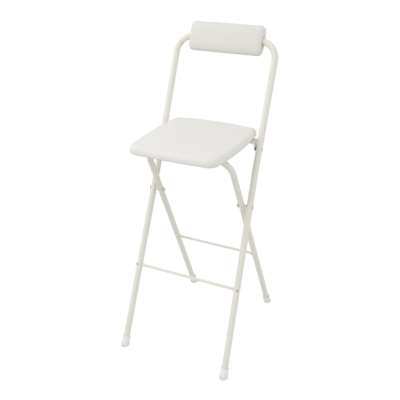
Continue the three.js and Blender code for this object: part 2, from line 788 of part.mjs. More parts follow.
const backrestCover = () => loft([...padRings(0), ...padRings(coverThickness).reverse()]);
const backrestFoam = () => loft(padRings(coverThickness + fit));

// A turned piece that lies along X on one side, at the height of its axis
function addAcross(parent, name, side, body, look, y, z) {
  const mesh = add(parent, name, body, look);
  mesh.position.set(0, y, z);
  mesh.rotation.z = side > 0 ? 0 : Math.PI;
  return mesh;
}

function longFrame() {
  const group = new THREE.Group();
  add(group, 'long_frame_tube', longFrameTube(), paintedSteel);
  const bar = add(group, 'footrest_rod', footrestRod(), paintedSteel);
  bar.position.set(0, footrestHeight * longSlope, footrestHeight);
  for (const [name, side] of sides) {
    const foot = longPoint(side, 0);
    const cap = add(group, `front_foot_${name}`, footCap(foot, longPoint(side, splayHeight), longRadius),
      capPlastic);
    cap.position.copy(foot);
    const screw = add(group, `footrest_screw_${name}`, rodScrew(), zincSteel);
    screw.position.copy(longPoint(side, footrestHeight));
    screw.quaternion.setFromUnitVectors(alongX, rodScrewHeading(side));
  }
  return group;
}

function pivots() {
  const group = new THREE.Group();
  const washer = ring(washerIn, washerOut, pivotHole, washerDiameter / 2);
  const hingeWasher = ring(hingeWasherIn, hingeWasherOut, rivetShank / 2 + fit, hingeWasherDiameter / 2);
  for (const [name, side] of sides) {
    const atPivot = (piece, body, look) => addAcross(
      group, `${piece}_${name}`, side, body, look, pivotY, pivotZ);
    atPivot('pivot_bolt', pivotBolt(), paintedSteel);
    atPivot('pivot_spacer', pivotSpacer(), capPlastic);
    atPivot('pivot_washer', washer, zincSteel);
    atPivot('pivot_nut', pivotNut(), zincSteel);
    addAcross(group, `hinge_rivet_${name}`, side, hingeRivet(), zincSteel, hingeY, hingeHeight);
    addAcross(group, `hinge_washer_${name}`, side, hingeWasher, blackNylon, hingeY, hingeHeight);
  }
  return group;
}

function backrest() {
  const group = new THREE.Group();
  group.position.set(0, backBarHeight * longSlope, backBarHeight);
  group.rotation.x = -longLean;
  add(group, 'backrest_foam', backrestFoam(), foam);
  add(group, 'backrest_cover', backrestCover(), fabric);
  return group;
}

function rearLegs() {
  const group = new THREE.Group();
  add(group, 'rear_leg_tube', rearLegTube(), paintedSteel);
  const bar = add(group, 'rear_brace_rod', braceRod(), paintedSteel);
  bar.position.set(0, footSpread - braceHeight * rearSlope, braceHeight);
  for (const [name, side] of sides) {
    const foot = rearPoint(side, 0);
    const cap = add(group, `rear_foot_${name}`, footCap(foot, rearPoint(side, seatBarHeight), rearRadius),
      capPlastic);
    cap.position.copy(foot);
  }
  return group;
}

function seat() {
  const group = new THREE.Group();
  add(group, 'seat_board', seatBoard(), plywood);
  add(group, 'seat_foam', seatFoam(), foam);
  add(group, 'seat_cover', seatCover(), fabric);
  add(group, 'seat_lining', seatLining(), felt);
  for (const [name, side] of sides) {
    addAcross(group, `hinge_bracket_${name}`, side, hingeBracket(), zincSteel, hingeY, hingeHeight);
    const saddle = add(group, `bar_saddle_${name}`, barSaddle(), blackNylon);
    saddle.position.set(side * saddleAside, seatBarY, seatBarHeight);
  }
  for (const [name, place] of screwPlaces) {
    const screw = add(group, name, woodScrew(), zincSteel);
    screw.position.copy(place);
    screw.quaternion.setFromUnitVectors(alongX, alongZ);
  }
  return group;
}

// The whole stool, moved so that its origin is on the floor under its middle
const stool = new THREE.Group();
stool.add(longFrame(), pivots(), backrest(), rearLegs(), seat());
const extent = new THREE.Box3().setFromObject(stool);
stool.position.y = -(extent.min.y + extent.max.y) / 2;

export default stool;
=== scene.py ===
import json
import math

import bmesh
import bpy
import numpy as np
from mathutils import Matrix, Vector
from mathutils.bvhtree import BVHTree

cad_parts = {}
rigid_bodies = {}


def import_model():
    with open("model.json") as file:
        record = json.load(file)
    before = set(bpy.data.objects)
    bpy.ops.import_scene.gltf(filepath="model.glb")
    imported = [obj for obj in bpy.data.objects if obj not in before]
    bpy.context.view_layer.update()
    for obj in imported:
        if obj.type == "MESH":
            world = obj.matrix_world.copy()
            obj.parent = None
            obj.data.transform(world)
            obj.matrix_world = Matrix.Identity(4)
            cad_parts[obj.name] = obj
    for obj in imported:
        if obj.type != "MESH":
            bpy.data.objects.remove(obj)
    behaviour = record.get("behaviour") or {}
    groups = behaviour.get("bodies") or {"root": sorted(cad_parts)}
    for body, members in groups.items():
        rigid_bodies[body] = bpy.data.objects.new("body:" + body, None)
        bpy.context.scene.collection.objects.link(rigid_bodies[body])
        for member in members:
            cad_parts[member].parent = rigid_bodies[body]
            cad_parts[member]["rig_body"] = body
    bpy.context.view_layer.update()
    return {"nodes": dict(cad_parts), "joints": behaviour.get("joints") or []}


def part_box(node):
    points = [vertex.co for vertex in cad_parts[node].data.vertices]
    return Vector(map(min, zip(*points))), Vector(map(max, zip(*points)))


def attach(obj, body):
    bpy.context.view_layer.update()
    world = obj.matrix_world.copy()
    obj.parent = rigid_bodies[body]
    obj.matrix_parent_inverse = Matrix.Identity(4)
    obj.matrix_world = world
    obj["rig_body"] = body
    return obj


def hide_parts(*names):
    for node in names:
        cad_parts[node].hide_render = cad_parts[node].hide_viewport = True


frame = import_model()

# Folding bar stool: the looks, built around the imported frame.
# Metres, +Z up, the front towards -Y. Left and right are as seen from the front.

cadNodes = frame["nodes"]
bodyOf = {name: node["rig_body"] for name, node in cadNodes.items()}
jointPlace = {joint["name"]: Vector(joint["pos_m"]) for joint in frame["joints"]}
hinge = jointPlace["seat_hinge"]
pivot = jointPlace["leg_fold"]
sides = {"left": -1, "right": 1}
across = Vector((1, 0, 0))
upright = Vector((0, 0, 1))
gap = 0.0003  # what two pieces that touch keep between them
hair = 1e-6  # less than this is no distance at all
quarterTurn = math.pi / 2
print("frame loaded,", len(cadNodes), "nodes")


def newPiece(name, data):
    piece = bpy.data.objects.new(name, data)
    bpy.context.collection.objects.link(piece)
    return piece


# Camera at the photograph's angle
view = {
    "place": (0.7964, -1.5172, 1.2883),
    "azimuth": 27.794, "elevation": 25.902, "roll": -1.188, "lens": 56.634, "sensor": 36.0,
}


def placeCamera():
    camera = newPiece("camera", bpy.data.cameras.new("camera"))
    camera.data.lens = view["lens"]
    camera.data.sensor_width = view["sensor"]
    stand = Matrix.Translation(view["place"])
    for angle, axis in ((view["azimuth"], "Z"), (90 - view["elevation"], "X"), (view["roll"], "Z")):
        stand = stand @ Matrix.Rotation(math.radians(angle), 4, axis)
    camera.matrix_world = stand
    bpy.context.scene.camera = camera


placeCamera()
print("camera placed")


# Node helpers
def socketOf(sockets, key):
    if isinstance(key, int):
        return sockets[key]
    return next(socket for socket in sockets if socket.enabled and socket.name == key)


def wire(tree, kind, inputs=None, output=None, **settings):  # adds a node and gives one of its outputs
    node = tree.nodes.new(kind)
    for key, value in settings.items():
        setattr(node, key, value)
    for key, value in (inputs or {}).items():
        socket = socketOf(node.inputs, key)
        if isinstance(value, bpy.types.NodeSocket):
            tree.links.new(value, socket)
        else:
            socket.default_value = value
    outputs = (socket for socket in node.outputs if socket.enabled and output in (None, socket.name))
    return next(outputs, None)


def calc(tree, operation, *values):
    return wire(tree, "ShaderNodeMath", dict(enumerate(values)), operation=operation)


def noise(tree, place, scale, detail, **more):
    return wire(tree, "ShaderNodeTexNoise", {"Vector": place, "Scale": scale, "Detail": detail, **more})


def squeezed(tree, place, shares):
    return wire(tree, "ShaderNodeVectorMath", {0: place, 1: shares}, operation="MULTIPLY")


def heightOf(tree, place):
    return wire(tree, "ShaderNodeSeparateXYZ", {0: place}, "Z")


def ranged(tree, value, start=0.0, end=1.0, low=0.0, high=1.0, kind="LINEAR"):
    limits = {"Value": value, "From Min": start, "From Max": end, "To Min": low, "To Max": high}
    return wire(tree, "ShaderNodeMapRange", limits, interpolation_type=kind)


def newGroup(kind, name, inputs, outputs):
    tree = bpy.data.node_groups.new(name, kind)
    for side, sockets in (("INPUT", inputs), ("OUTPUT", outputs)):
        for label, sort in sockets.items():
            tree.interface.new_socket(label, in_out=side, socket_type="NodeSocket" + sort)
    given = tree.nodes.new("NodeGroupInput").outputs
    ends = tree.nodes.new("NodeGroupOutput").inputs
    return tree, given, ends


def shadeOf(red, green, blue):  # a screen colour, 0 to 255, as the shader wants it
    def linear(part):
        part /= 255
        return part / 12.92 if part <= 0.04045 else ((part + 0.055) / 1.055) ** 2.4

    return (linear(red), linear(green), linear(blue), 1.0)


# Effects that several materials share
effectLook = {
    "driftDetail": 3.0, "noiseMiddle": 0.5,
    "grainFiner": 2.5, "grainDetail": 2.0, "creaseWidth": 0.3,
    "streakShape": (1.0, 1.0, 0.12), "streakDetail": 6.0, "streaks": (0.6, 0.7),
    "patchScale": 9.0, "patchDetail": 1.0, "patches": (0.5, 0.65),
    "grimeScale": 160.0, "grimeDetail": 4.0,
}


def toneDriftGroup():  # slow change of tone over a surface
    tree, given, ends = newGroup(
        "ShaderNodeTree", "toneDrift",
        {"Place": "Vector", "Colour": "Color", "Scale": "Float", "Amount": "Float"}, {"Colour": "Color"})
    drift = noise(tree, given["Place"], given["Scale"], effectLook["driftDetail"])
    drift = calc(tree, "SUBTRACT", drift, effectLook["noiseMiddle"])
    drift = calc(tree, "MULTIPLY_ADD", drift, given["Amount"], 1.0)
    tone = wire(tree, "ShaderNodeVectorMath", {0: given["Colour"], "Scale": drift}, operation="SCALE")
    tree.links.new(tone, ends["Colour"])
    return tree


def pebbleGroup():  # small raised cells with creases between them
    tree, given, ends = newGroup(
        "ShaderNodeTree", "pebbleGrain",
        {"Place": "Vector", "Cell": "Float", "Fineness": "Float"}, {"Height": "Float", "Crease": "Float"})
    scale = calc(tree, "DIVIDE", 1.0, given["Cell"])
    finer = calc(tree, "MULTIPLY", scale, effectLook["grainFiner"])
    fine = noise(tree, given["Place"], finer, effectLook["grainDetail"])
    edge = wire(
        tree, "ShaderNodeTexVoronoi", {"Vector": given["Place"], "Scale": scale}, "Distance",
        feature="DISTANCE_TO_EDGE")
    cell = ranged(tree, edge, end=effectLook["creaseWidth"], kind="SMOOTHSTEP")
    tree.links.new(calc(tree, "MULTIPLY_ADD", fine, given["Fineness"], cell), ends["Height"])
    tree.links.new(calc(tree, "SUBTRACT", 1.0, cell), ends["Crease"])
    return tree


def scuffGroup():  # sparse rubbed streaks
    tree, given, ends = newGroup(
        "ShaderNodeTree", "scuffs",
        {"Place": "Vector", "Scale": "Float", "Amount": "Float"}, {"Mask": "Float"})
    stretched = squeezed(tree, given["Place"], effectLook["streakShape"])
    streaks = noise(tree, stretched, given["Scale"], effectLook["streakDetail"])
    patches = noise(tree, given["Place"], effectLook["patchScale"], effectLook["patchDetail"])
    both = calc(
        tree, "MULTIPLY",
        ranged(tree, streaks, *effectLook["streaks"]), ranged(tree, patches, *effectLook["patches"]))
    tree.links.new(calc(tree, "MULTIPLY", both, given["Amount"]), ends["Mask"])
    return tree


def floorDustGroup():  # grime that fades away above the floor
    tree, given, ends = newGroup(
        "ShaderNodeTree", "floorDust",
        {"Place": "Vector", "Height": "Float", "Amount": "Float"}, {"Mask": "Float"})
    grime = noise(tree, given["Place"], effectLook["grimeScale"], effectLook["grimeDetail"])
    share = calc(tree, "DIVIDE", heightOf(tree, given["Place"]), given["Height"])
    low = ranged(tree, share, low=1.0, high=0.0, kind="SMOOTHSTEP")
    mask = calc(tree, "MULTIPLY", low, grime)
    tree.links.new(calc(tree, "MULTIPLY", mask, given["Amount"]), ends["Mask"])
    return tree


effects = {tree.name: tree for tree in (toneDriftGroup(), pebbleGroup(), scuffGroup(), floorDustGroup())}


def effect(tree, name, output, **inputs):
    return wire(tree, "ShaderNodeGroup", inputs, output, node_tree=effects[name])


def startMaterial(look):
    material = bpy.data.materials.new(look["name"])
    material.use_nodes = True
    tree = material.node_tree
    spot = wire(tree, "ShaderNodeTexCoord", output="Object")
    scale, amount = look["drift"]
    tone = effect(
        tree, "toneDrift", "Colour", Place=spot, Colour=shadeOf(*look["colour"]), Scale=scale, Amount=amount)
    return material, tree, spot, tone


def blended(tree, share, tone, colour):
    mixed = {"Factor": share, "A": tone, "B": shadeOf(*colour)}
    return wire(tree, "ShaderNodeMix", mixed, "Result", data_type="RGBA")


def finishMaterial(material, tone, mask, height, look):  # the mask leads from one roughness to the other
    tree = material.node_tree
    shader = tree.nodes["Principled BSDF"].inputs
    low, high = look["rough"]
    relief = {"Height": height, "Distance": look["depth"], "Strength": 1.0}
    tree.links.new(tone, shader["Base Color"])
    tree.links.new(ranged(tree, mask, low=low, high=high), shader["Roughness"])
    tree.links.new(wire(tree, "ShaderNodeBump", relief), shader["Normal"])
    shader["Metallic"].default_value = look.get("metallic", 0.0)
    return material


def grainOf(look, spot):
    return {"Place": spot, "Cell": look["cell"], "Fineness": look["fineness"]}


def wornMaterial(look):  # paint, moulded plastic and plate: rubbed streaks, grime and a fine relief
    material, tree, spot, tone = startMaterial(look)
    scuff = effect(tree, "scuffs", "Mask", Place=spot, Scale=look["scuffScale"], Amount=look["scuff"])
    tone = blended(tree, scuff, tone, look["scuffColour"])
    if "dust" in look:
        dust = effect(tree, "floorDust", "Mask", Place=spot, Height=look["dustHeight"], Amount=look["dust"])
        tone = blended(tree, dust, tone, look["dustColour"])
    if "cell" in look:
        height = effect(tree, "pebbleGrain", "Height", **grainOf(look, spot))
    else:
        height = noise(tree, spot, look["reliefScale"], look["reliefDetail"])
    return finishMaterial(material, tone, height if look.get("cloudy") else scuff, height, look)


def vinylMaterial(look):  # coated upholstery cloth with a fine pebbled grain
    material, tree, spot, tone = startMaterial(look)
    crease = effect(tree, "pebbleGrain", "Crease", **grainOf(look, spot))
    height = effect(tree, "pebbleGrain", "Height", **grainOf(look, spot))
    # painted shade: the grain's creases are blended towards a darker colour that stands in for the shade in
    # them
    tone = blended(tree, calc(tree, "MULTIPLY", crease, look["creaseShadeShare"]), tone, look["creaseShadeColour"])
    return finishMaterial(material, tone, crease, height, look)


def plywoodMaterial(look):  # grain along Y, with the glued layers showing at the edges
    material, tree, spot, tone = startMaterial(look)
    grain = noise(tree, squeezed(tree, spot, look["grainShape"]), look["grainScale"], look["grainDetail"])
    turns = calc(tree, "MULTIPLY", heightOf(tree, spot), math.pi / look["ply"])
    edge = look["plyEdge"]
    layer = ranged(tree, calc(tree, "SINE", turns), -edge, edge, high=look["plyTone"])
    tone = blended(tree, grain, tone, look["grainColour"])
    return finishMaterial(material, blended(tree, layer, tone, look["plyColour"]), grain, grain, look)


def feltMaterial(look):  # bonded fibre cloth, and thread
    material, tree, spot, tone = startMaterial(look)
    fibre = noise(
        tree, spot, look["fibreScale"], look["fibreDetail"], Roughness=look["fibreRoughness"],
        Distortion=look["fibreDistortion"])
    dimple = effect(tree, "pebbleGrain", "Crease", Place=spot, Cell=look["dimple"], Fineness=0.0)
    tone = blended(tree, fibre, tone, look["fibreColour"])
    return finishMaterial(material, tone, fibre, calc(tree, "SUBTRACT", fibre, dimple), look)


fibres = {"fibreDetail": 8.0, "fibreRoughness": 0.75, "fibreDistortion": 2.5}
vinyl = {"cell": 0.0011, "fineness": 0.35, "depth": 0.00009, "creaseShadeShare": 0.35}
paint = wornMaterial({
    "name": "paintedSteel", "colour": (234, 231, 220), "drift": (7.0, 0.03), "rough": (0.36, 0.62),
    "reliefScale": 1 / 0.0011, "reliefDetail": 1.0, "depth": 0.00004,
    "scuffScale": 60.0, "scuff": 0.35, "scuffColour": (214, 208, 197),
    "dustHeight": 0.12, "dust": 0.16, "dustColour": (196, 189, 176),
})
seatVinyl = vinylMaterial({
    **vinyl, "name": "seatVinyl", "colour": (241, 239, 235), "drift": (11.0, 0.03),
    "creaseShadeColour": (216, 214, 208), "rough": (0.5, 0.66),
})
# painted shade: the back pad's vinyl is a darker copy of the seat's vinyl, its colour lowered to stand in for
# the shade on the pad's upright front
shadedPadVinyl = vinylMaterial({
    **vinyl, "name": "backVinyl", "colour": (233, 231, 225), "drift": (14.0, 0.03),
    "creaseShadeColour": (214, 211, 204), "rough": (0.52, 0.68),
})
capPlastic = wornMaterial({
    "name": "capPlastic", "colour": (242, 242, 238), "drift": (20.0, 0.03), "rough": (0.46, 0.7),
    "cell": 0.0006, "fineness": 0.6, "depth": 0.00003,
    "scuffScale": 90.0, "scuff": 0.4, "scuffColour": (212, 210, 203),
    "dustHeight": 0.02, "dust": 0.5, "dustColour": (176, 171, 160),
})
spacerPlastic = wornMaterial({
    "name": "spacerPlastic", "colour": (232, 231, 226), "drift": (40.0, 0.03), "rough": (0.42, 0.6),
    "cell": 0.0005, "fineness": 0.6, "depth": 0.00002,
    "scuffScale": 120.0, "scuff": 0.3, "scuffColour": (208, 205, 198),
})
blackNylon = wornMaterial({
    "name": "blackNylon", "colour": (38, 38, 40), "drift": (30.0, 0.1), "rough": (0.5, 0.68),
    "cell": 0.0007, "fineness": 0.6, "depth": 0.00004,
    "scuffScale": 80.0, "scuff": 0.5, "scuffColour": (84, 84, 86),
})
zinc = wornMaterial({
    "name": "zincPlate", "colour": (229, 226, 218), "drift": (60.0, 0.05), "rough": (0.42, 0.6),
    "metallic": 0.45, "cloudy": True, "reliefScale": 420.0, "reliefDetail": 5.0, "depth": 0.00002,
    "scuffScale": 140.0, "scuff": 0.4, "scuffColour": (200, 195, 184),
})
# painted shade: near-black colour that stands in for the shadow inside the footrest screws' sockets
socketGrime = wornMaterial({
    "name": "socketGrime", "colour": (14, 13, 12), "drift": (200.0, 0.1), "rough": (0.7, 0.9),
    "cloudy": True, "reliefScale": 900.0, "reliefDetail": 5.0, "depth": 0.00002,
    "scuffScale": 300.0, "scuff": 0.3, "scuffColour": (34, 32, 30),
})
plywood = plywoodMaterial({
    "name": "plywood", "colour": (206, 172, 124), "drift": (9.0, 0.12), "rough": (0.62, 0.8),
    "grainShape": (1.0, 0.06, 1.0), "grainScale": 260.0, "grainDetail": 6.0, "depth": 0.00008,
    "grainColour": (180, 140, 92),
    "ply": 0.0018, "plyEdge": 0.3, "plyTone": 0.5, "plyColour": (150, 112, 72),
})
felt = feltMaterial({
    **fibres, "name": "liningFelt", "colour": (226, 224, 219), "drift": (16.0, 0.05), "rough": (0.86, 1.0),
    "fibreScale": 900.0, "fibreColour": (200, 197, 190), "depth": 0.0002, "dimple": 0.0024,
})
thread = feltMaterial({
    **fibres, "name": "sewingThread", "colour": (232, 230, 224), "drift": (90.0, 0.06), "rough": (0.78, 1.0),
    "fibreScale": 2600.0, "fibreColour": (206, 203, 196), "depth": 0.00005, "dimple": 0.0008,
})
print("materials made")


# Mesh helpers
def meshPiece(name, points, faces=(), edges=()):
    mesh = bpy.data.meshes.new(name)
    mesh.from_pydata([tuple(point) for point in points], list(edges), list(faces))
    return newPiece(name, mesh)


def pathPiece(name, points, closed=False):
    count = len(points)
    edges = [(k, (k + 1) % count) for k in range(count if closed else count - 1)]
    return meshPiece(name, points, edges=edges)


def facesOut(piece, merged=True):  # for closed shells
    shape = bmesh.new()
    shape.from_mesh(piece.data)
    if merged:
        bmesh.ops.remove_doubles(shape, verts=shape.verts, dist=hair)
    bmesh.ops.recalc_face_normals(shape, faces=shape.faces)
    shape.to_mesh(piece.data)
    shape.free()
    return piece


def smooth(piece, degrees=32):
    piece.data.shade_smooth()
    piece.data.set_sharp_from_angle(angle=math.radians(degrees))
    return piece


def settle(piece):  # turns a piece and its modifiers into a plain mesh
    graph = bpy.context.evaluated_depsgraph_get()
    mesh = bpy.data.meshes.new_from_object(piece.evaluated_get(graph), depsgraph=graph)
    piece.modifiers.clear()
    piece.data = mesh
    return piece


def altered(piece, kind, **settings):  # settles one modifier
    modifier = piece.modifiers.new(kind.lower(), kind)
    for key, value in settings.items():
        setattr(modifier, key, value)
    return settle(piece)


def discard(*pieces):
    for piece in pieces:
        bpy.data.objects.remove(piece)


def softened(profile, steps=4):  # rounds each corner that has a third number, its rounding
    points = []
    for i, corner in enumerate(profile):
        here = Vector(corner[:2])
        if len(corner) < 3 or i in (0, len(profile) - 1):
            points.append(here)
            continue
        before = Vector(profile[i - 1][:2]) - here
        after = Vector(profile[i + 1][:2]) - here
        start = here + before.normalized() * min(corner[2], before.length / 2)
        end = here + after.normalized() * min(corner[2], after.length / 2)
        for k in range(steps + 1):
            t = k / steps
            points.append(start * (1 - t) ** 2 + here * (2 * t * (1 - t)) + end * t**2)
    return points


# A shape turned about X from a profile of (along, radius, rounding), hexagonal if it has a width across flats
def turned(name, profile, count=48, flats=None, ripple=None, closed=False):
    points, rings = [], []
    sixth = math.pi / 3
    for along, radius in softened(profile):
        if radius < hair:
            rings.append([len(points)])
            points.append((along, 0, 0))
            continue
        rings.append(list(range(len(points), len(points) + count)))
        for k in range(count):
            angle = 2 * math.pi * k / count
            reach = radius
            if flats:
                reach = min(radius, flats / 2 / math.cos((angle + sixth / 2) % sixth - sixth / 2))
            if ripple:
                reach += ripple(along, angle)
            points.append((along, reach * math.cos(angle), reach * math.sin(angle)))
    faces = []
    for low, high in list(zip(rings, rings[1:])) + ([(rings[-1], rings[0])] if closed else []):
        for k in range(count):
            j = (k + 1) % count
            corners = [low[k % len(low)], low[j % len(low)], high[j % len(high)], high[k % len(high)]]
            face = list(dict.fromkeys(corners))
            if len(face) > 2:
                faces.append(face)
    return facesOut(meshPiece(name, points, faces))


def putAt(piece, spot, direction=across):  # X of the piece's mesh goes along the direction
    turn = across.rotation_difference(direction).to_matrix().to_4x4()
    piece.data.transform(Matrix.Translation(spot) @ turn)
    return piece


def cut(piece, *cutters):
    for cutter in cutters:
        knife = piece.modifiers.new("cut", "BOOLEAN")
        knife.operation = "DIFFERENCE"
        knife.solver = "EXACT"
        knife.object = cutter
    settle(piece)
    discard(*cutters)
    return piece


def drill(spot, direction, radius, start, end, count=32):  # a round cutter
    profile = [(start, 0), (start, radius), (end, radius), (end, 0)]
    return putAt(turned("drill", profile, count), spot, direction)


def rounded(piece, width, segments=2, degrees=40):
    return altered(piece, "BEVEL", width=width, segments=segments, angle_limit=math.radians(degrees))


def plateFrom(name, outline, thickness, spot):  # a flat outline of (x, y), made solid upwards
    count = len(outline)
    points = [spot(x, y, z) for z in (0, thickness) for x, y in outline]
    faces = [list(range(count))[::-1], list(range(count, 2 * count))]
    faces += [[k, (k + 1) % count, count + (k + 1) % count, count + k] for k in range(count)]
    return facesOut(meshPiece(name, points, faces))


def pieceName(node):  # front_foot_left becomes frontFootLeft
    first, *others = node.split("_")
    return first + "".join(word.capitalize() for word in others)


def dress(piece, material, slot, *stands, body=None):  # gives a finished piece its look and its body
    piece.data.materials.clear()
    piece.data.materials.append(material)
    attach(piece, body or bodyOf[stands[0]])
    if stands:
        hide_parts(*stands)
    return piece


def middleOf(node):
    low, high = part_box(node)
    return (low + high) / 2


def reachOf(node):  # how near the middle of the stool and how far out a node reaches
    low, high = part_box(node)
    return sorted((abs(low.x), abs(high.x)))


# Geometry Nodes helpers
def newTree(name, **inputs):
    inputs = {"Geometry": "Geometry", **{key.replace("_", " "): sort for key, sort in inputs.items()}}
    return newGroup("GeometryNodeTree", name, {**inputs, "Material": "Material"}, {"Geometry": "Geometry"})


def finishTree(tree, given, ends, shape):  # every tree ends in a real mesh with its material
    real = wire(tree, "GeometryNodeRealizeInstances", {"Geometry": shape})
    painted = wire(tree, "GeometryNodeSetMaterial", {"Geometry": real, "Material": given["Material"]})
    tree.links.new(painted, ends["Geometry"])
    return tree


def grow(piece, tree, values):  # runs a tree on a piece and keeps the plain mesh
    modifier = piece.modifiers.new(tree.name, "NODES")
    modifier.node_group = tree
    for item in tree.interface.items_tree:
        if item.in_out == "INPUT" and item.name in values:
            modifier[item.identifier] = values[item.name]
    return settle(piece)


def copiesOf(tree, key, given):
    return wire(tree, "GeometryNodeObjectInfo", {"Object": given[key], "As Instance": True}, "Geometry")


def turnBy(tree, seed, least, most):  # a random turn about Z
    limits = {"Min": least, "Max": most, "Seed": seed}
    angle = wire(tree, "FunctionNodeRandomValue", limits, data_type="FLOAT")
    return wire(tree, "FunctionNodeAxisAngleToRotation", {"Axis": tuple(upright), "Angle": angle})


def bentTubeTree():  # a path of straight runs, its corners bent, and a round tube along it
    tree, given, ends = newTree("bentTube", Radius="Float", Sides="Int")
    bend = wire(tree, "GeometryNodeInputNamedAttribute", {"Name": "bend"}, "Attribute", data_type="FLOAT")
    steps = wire(tree, "GeometryNodeInputNamedAttribute", {"Name": "steps"}, "Attribute", data_type="INT")
    line = wire(tree, "GeometryNodeMeshToCurve", {"Mesh": given["Geometry"]})
    corners = {"Curve": line, "Count": steps, "Radius": bend}
    path = wire(tree, "GeometryNodeFilletCurve", corners, mode="POLY")
    ring = {"Resolution": given["Sides"], "Radius": given["Radius"]}
    section = wire(tree, "GeometryNodeCurvePrimitiveCircle", ring, "Curve")
    return finishTree(tree, given, ends, wire(
        tree, "GeometryNodeCurveToMesh", {"Curve": path, "Profile Curve": section}))


def rowTree():  # copies of a small piece along a path, less where another piece lies
    tree, given, ends = newTree(
        "rowAlongPath", Piece="Object", Pitch="Float", Jitter="Float", Seed="Int", Clear_Beyond_X="Float",
        Clear_Middle_Y="Float", Clear_Half_Y="Float")
    line = wire(tree, "GeometryNodeMeshToCurve", {"Mesh": given["Geometry"]})
    row = wire(tree, "GeometryNodeResampleCurve", {"Curve": line, "Length": given["Pitch"]}, mode="LENGTH")
    tangent = wire(tree, "GeometryNodeInputTangent")
    turn = wire(tree, "FunctionNodeAlignRotationToVector", {"Vector": tangent}, axis="X", pivot_axis="Z")
    skew = turnBy(tree, given["Seed"], calc(tree, "MULTIPLY", given["Jitter"], -1.0), given["Jitter"])
    turns = {"Rotation": turn, "Rotate By": skew}
    turn = wire(tree, "FunctionNodeRotateRotation", turns, rotation_space="LOCAL")
    spot = wire(tree, "GeometryNodeInputPosition")
    off = wire(tree, "ShaderNodeVectorMath", {0: spot}, operation="ABSOLUTE")
    side = wire(tree, "ShaderNodeSeparateXYZ", {0: off}, "X")
    along = wire(tree, "ShaderNodeSeparateXYZ", {0: spot}, "Y")
    along = calc(tree, "ABSOLUTE", calc(tree, "SUBTRACT", along, given["Clear Middle Y"]))
    compare = "FunctionNodeCompare"
    beyond = wire(tree, compare, {"A": side, "B": given["Clear Beyond X"]}, operation="GREATER_THAN")
    within = wire(tree, compare, {"A": along, "B": given["Clear Half Y"]}, operation="LESS_THAN")
    taken = wire(tree, "FunctionNodeBooleanMath", {0: beyond, 1: within}, operation="AND")
    free = wire(tree, "FunctionNodeBooleanMath", {0: taken}, operation="NOT")
    copies = {"Points": row, "Selection": free, "Instance": copiesOf(tree, "Piece", given), "Rotation": turn}
    return finishTree(tree, given, ends, wire(tree, "GeometryNodeInstanceOnPoints", copies))


def screwTree():  # one screw at each point, each turned its own way
    tree, given, ends = newTree("screwsAtPoints", Screw="Object", Seed="Int")
    turn = turnBy(tree, given["Seed"], 0.0, math.pi)
    copies = {"Points": given["Geometry"], "Instance": copiesOf(tree, "Screw", given), "Rotation": turn}
    return finishTree(tree, given, ends, wire(tree, "GeometryNodeInstanceOnPoints", copies))


bentTubes = bentTubeTree()
rows = rowTree()
screwsAtPoints = screwTree()
print("node trees made")

# Lines of the two frames, from the joints: both run through the leg pivot
longFrame = {
    "radius": 0.0095, "wall": 0.0012,
    "half": 0.160, "footHalf": 0.1735, "splayHeight": 0.565, "splayRadius": 0.6, "splaySteps": 8,
    "barHeight": 0.905, "bend": 0.053, "bendSteps": 28,
}
rearFrame = {
    "radius": 0.009, "wall": 0.0012,
    "half": 0.134, "footHalf": 0.145, "barHeight": 0.636, "bend": 0.055, "bendSteps": 28,
}
tubeLook = {"sides": 48, "holeMargin": 0.0055, "holeSlack": 0.0003, "holeReach": 1.6}
cap = {
    "height": 0.030, "sole": 0.009, "wall": 0.0026, "flare": 0.0013, "bead": 0.0007, "beadHeight": 0.004,
    "skirt": 0.2, "skirtFlare": 0.35, "roundings": (0.004, 0.005, 0.0006, 0.0006, 0.0007, 0.0005, 0.0004),
    "toe": 0.0012, "toeSteps": 4, "sides": 56, "sharp": 40,
}
rods = {
    "radius": 0.004, "chamfer": 0.0006, "footrestHeight": 0.243, "braceHeight": 0.2525, "sides": 36,
    "filletRise": 0.0026, "filletLength": 0.005, "filletPower": 2.2,
    "filletAt": (0, 0.2, 0.4, 0.6, 0.8, 0.93, 1),
    "ripple": 0.00016, "ripples": 13, "weldedSides": 52, "sharp": 40,
}
footrestScrew = {
    "shank": 0.002, "head": 0.00425, "height": 0.0024, "turn": 25.0, "reach": 0.002, "tip": 0.0003,
    "socket": 0.0040, "socketDepth": 0.0018, "socketSides": 6, "beyond": 0.01,
}
pins = {"pivot": 0.003, "hinge": 0.0025}
longSlope = (hinge.y - pivot.y) / (hinge.z - pivot.z)
rearLow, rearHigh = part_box("rear_leg_tube")
seatBar = Vector((0, rearLow.y + rearFrame["radius"], rearHigh.z - rearFrame["radius"]))
rearSlope = (pivot.y - seatBar.y) / (seatBar.z - pivot.z)


def longPoint(side, z):
    spread = longFrame["footHalf"] - longFrame["half"]
    half = longFrame["half"] + spread * max(0, 1 - z / longFrame["splayHeight"])
    return Vector((side * half, pivot.y + (z - pivot.z) * longSlope, z))


def rearPoint(side, z):
    half = rearFrame["footHalf"] + (rearFrame["half"] - rearFrame["footHalf"]) * z / rearFrame["barHeight"]
    return Vector((side * half, pivot.y - (z - pivot.z) * rearSlope, z))


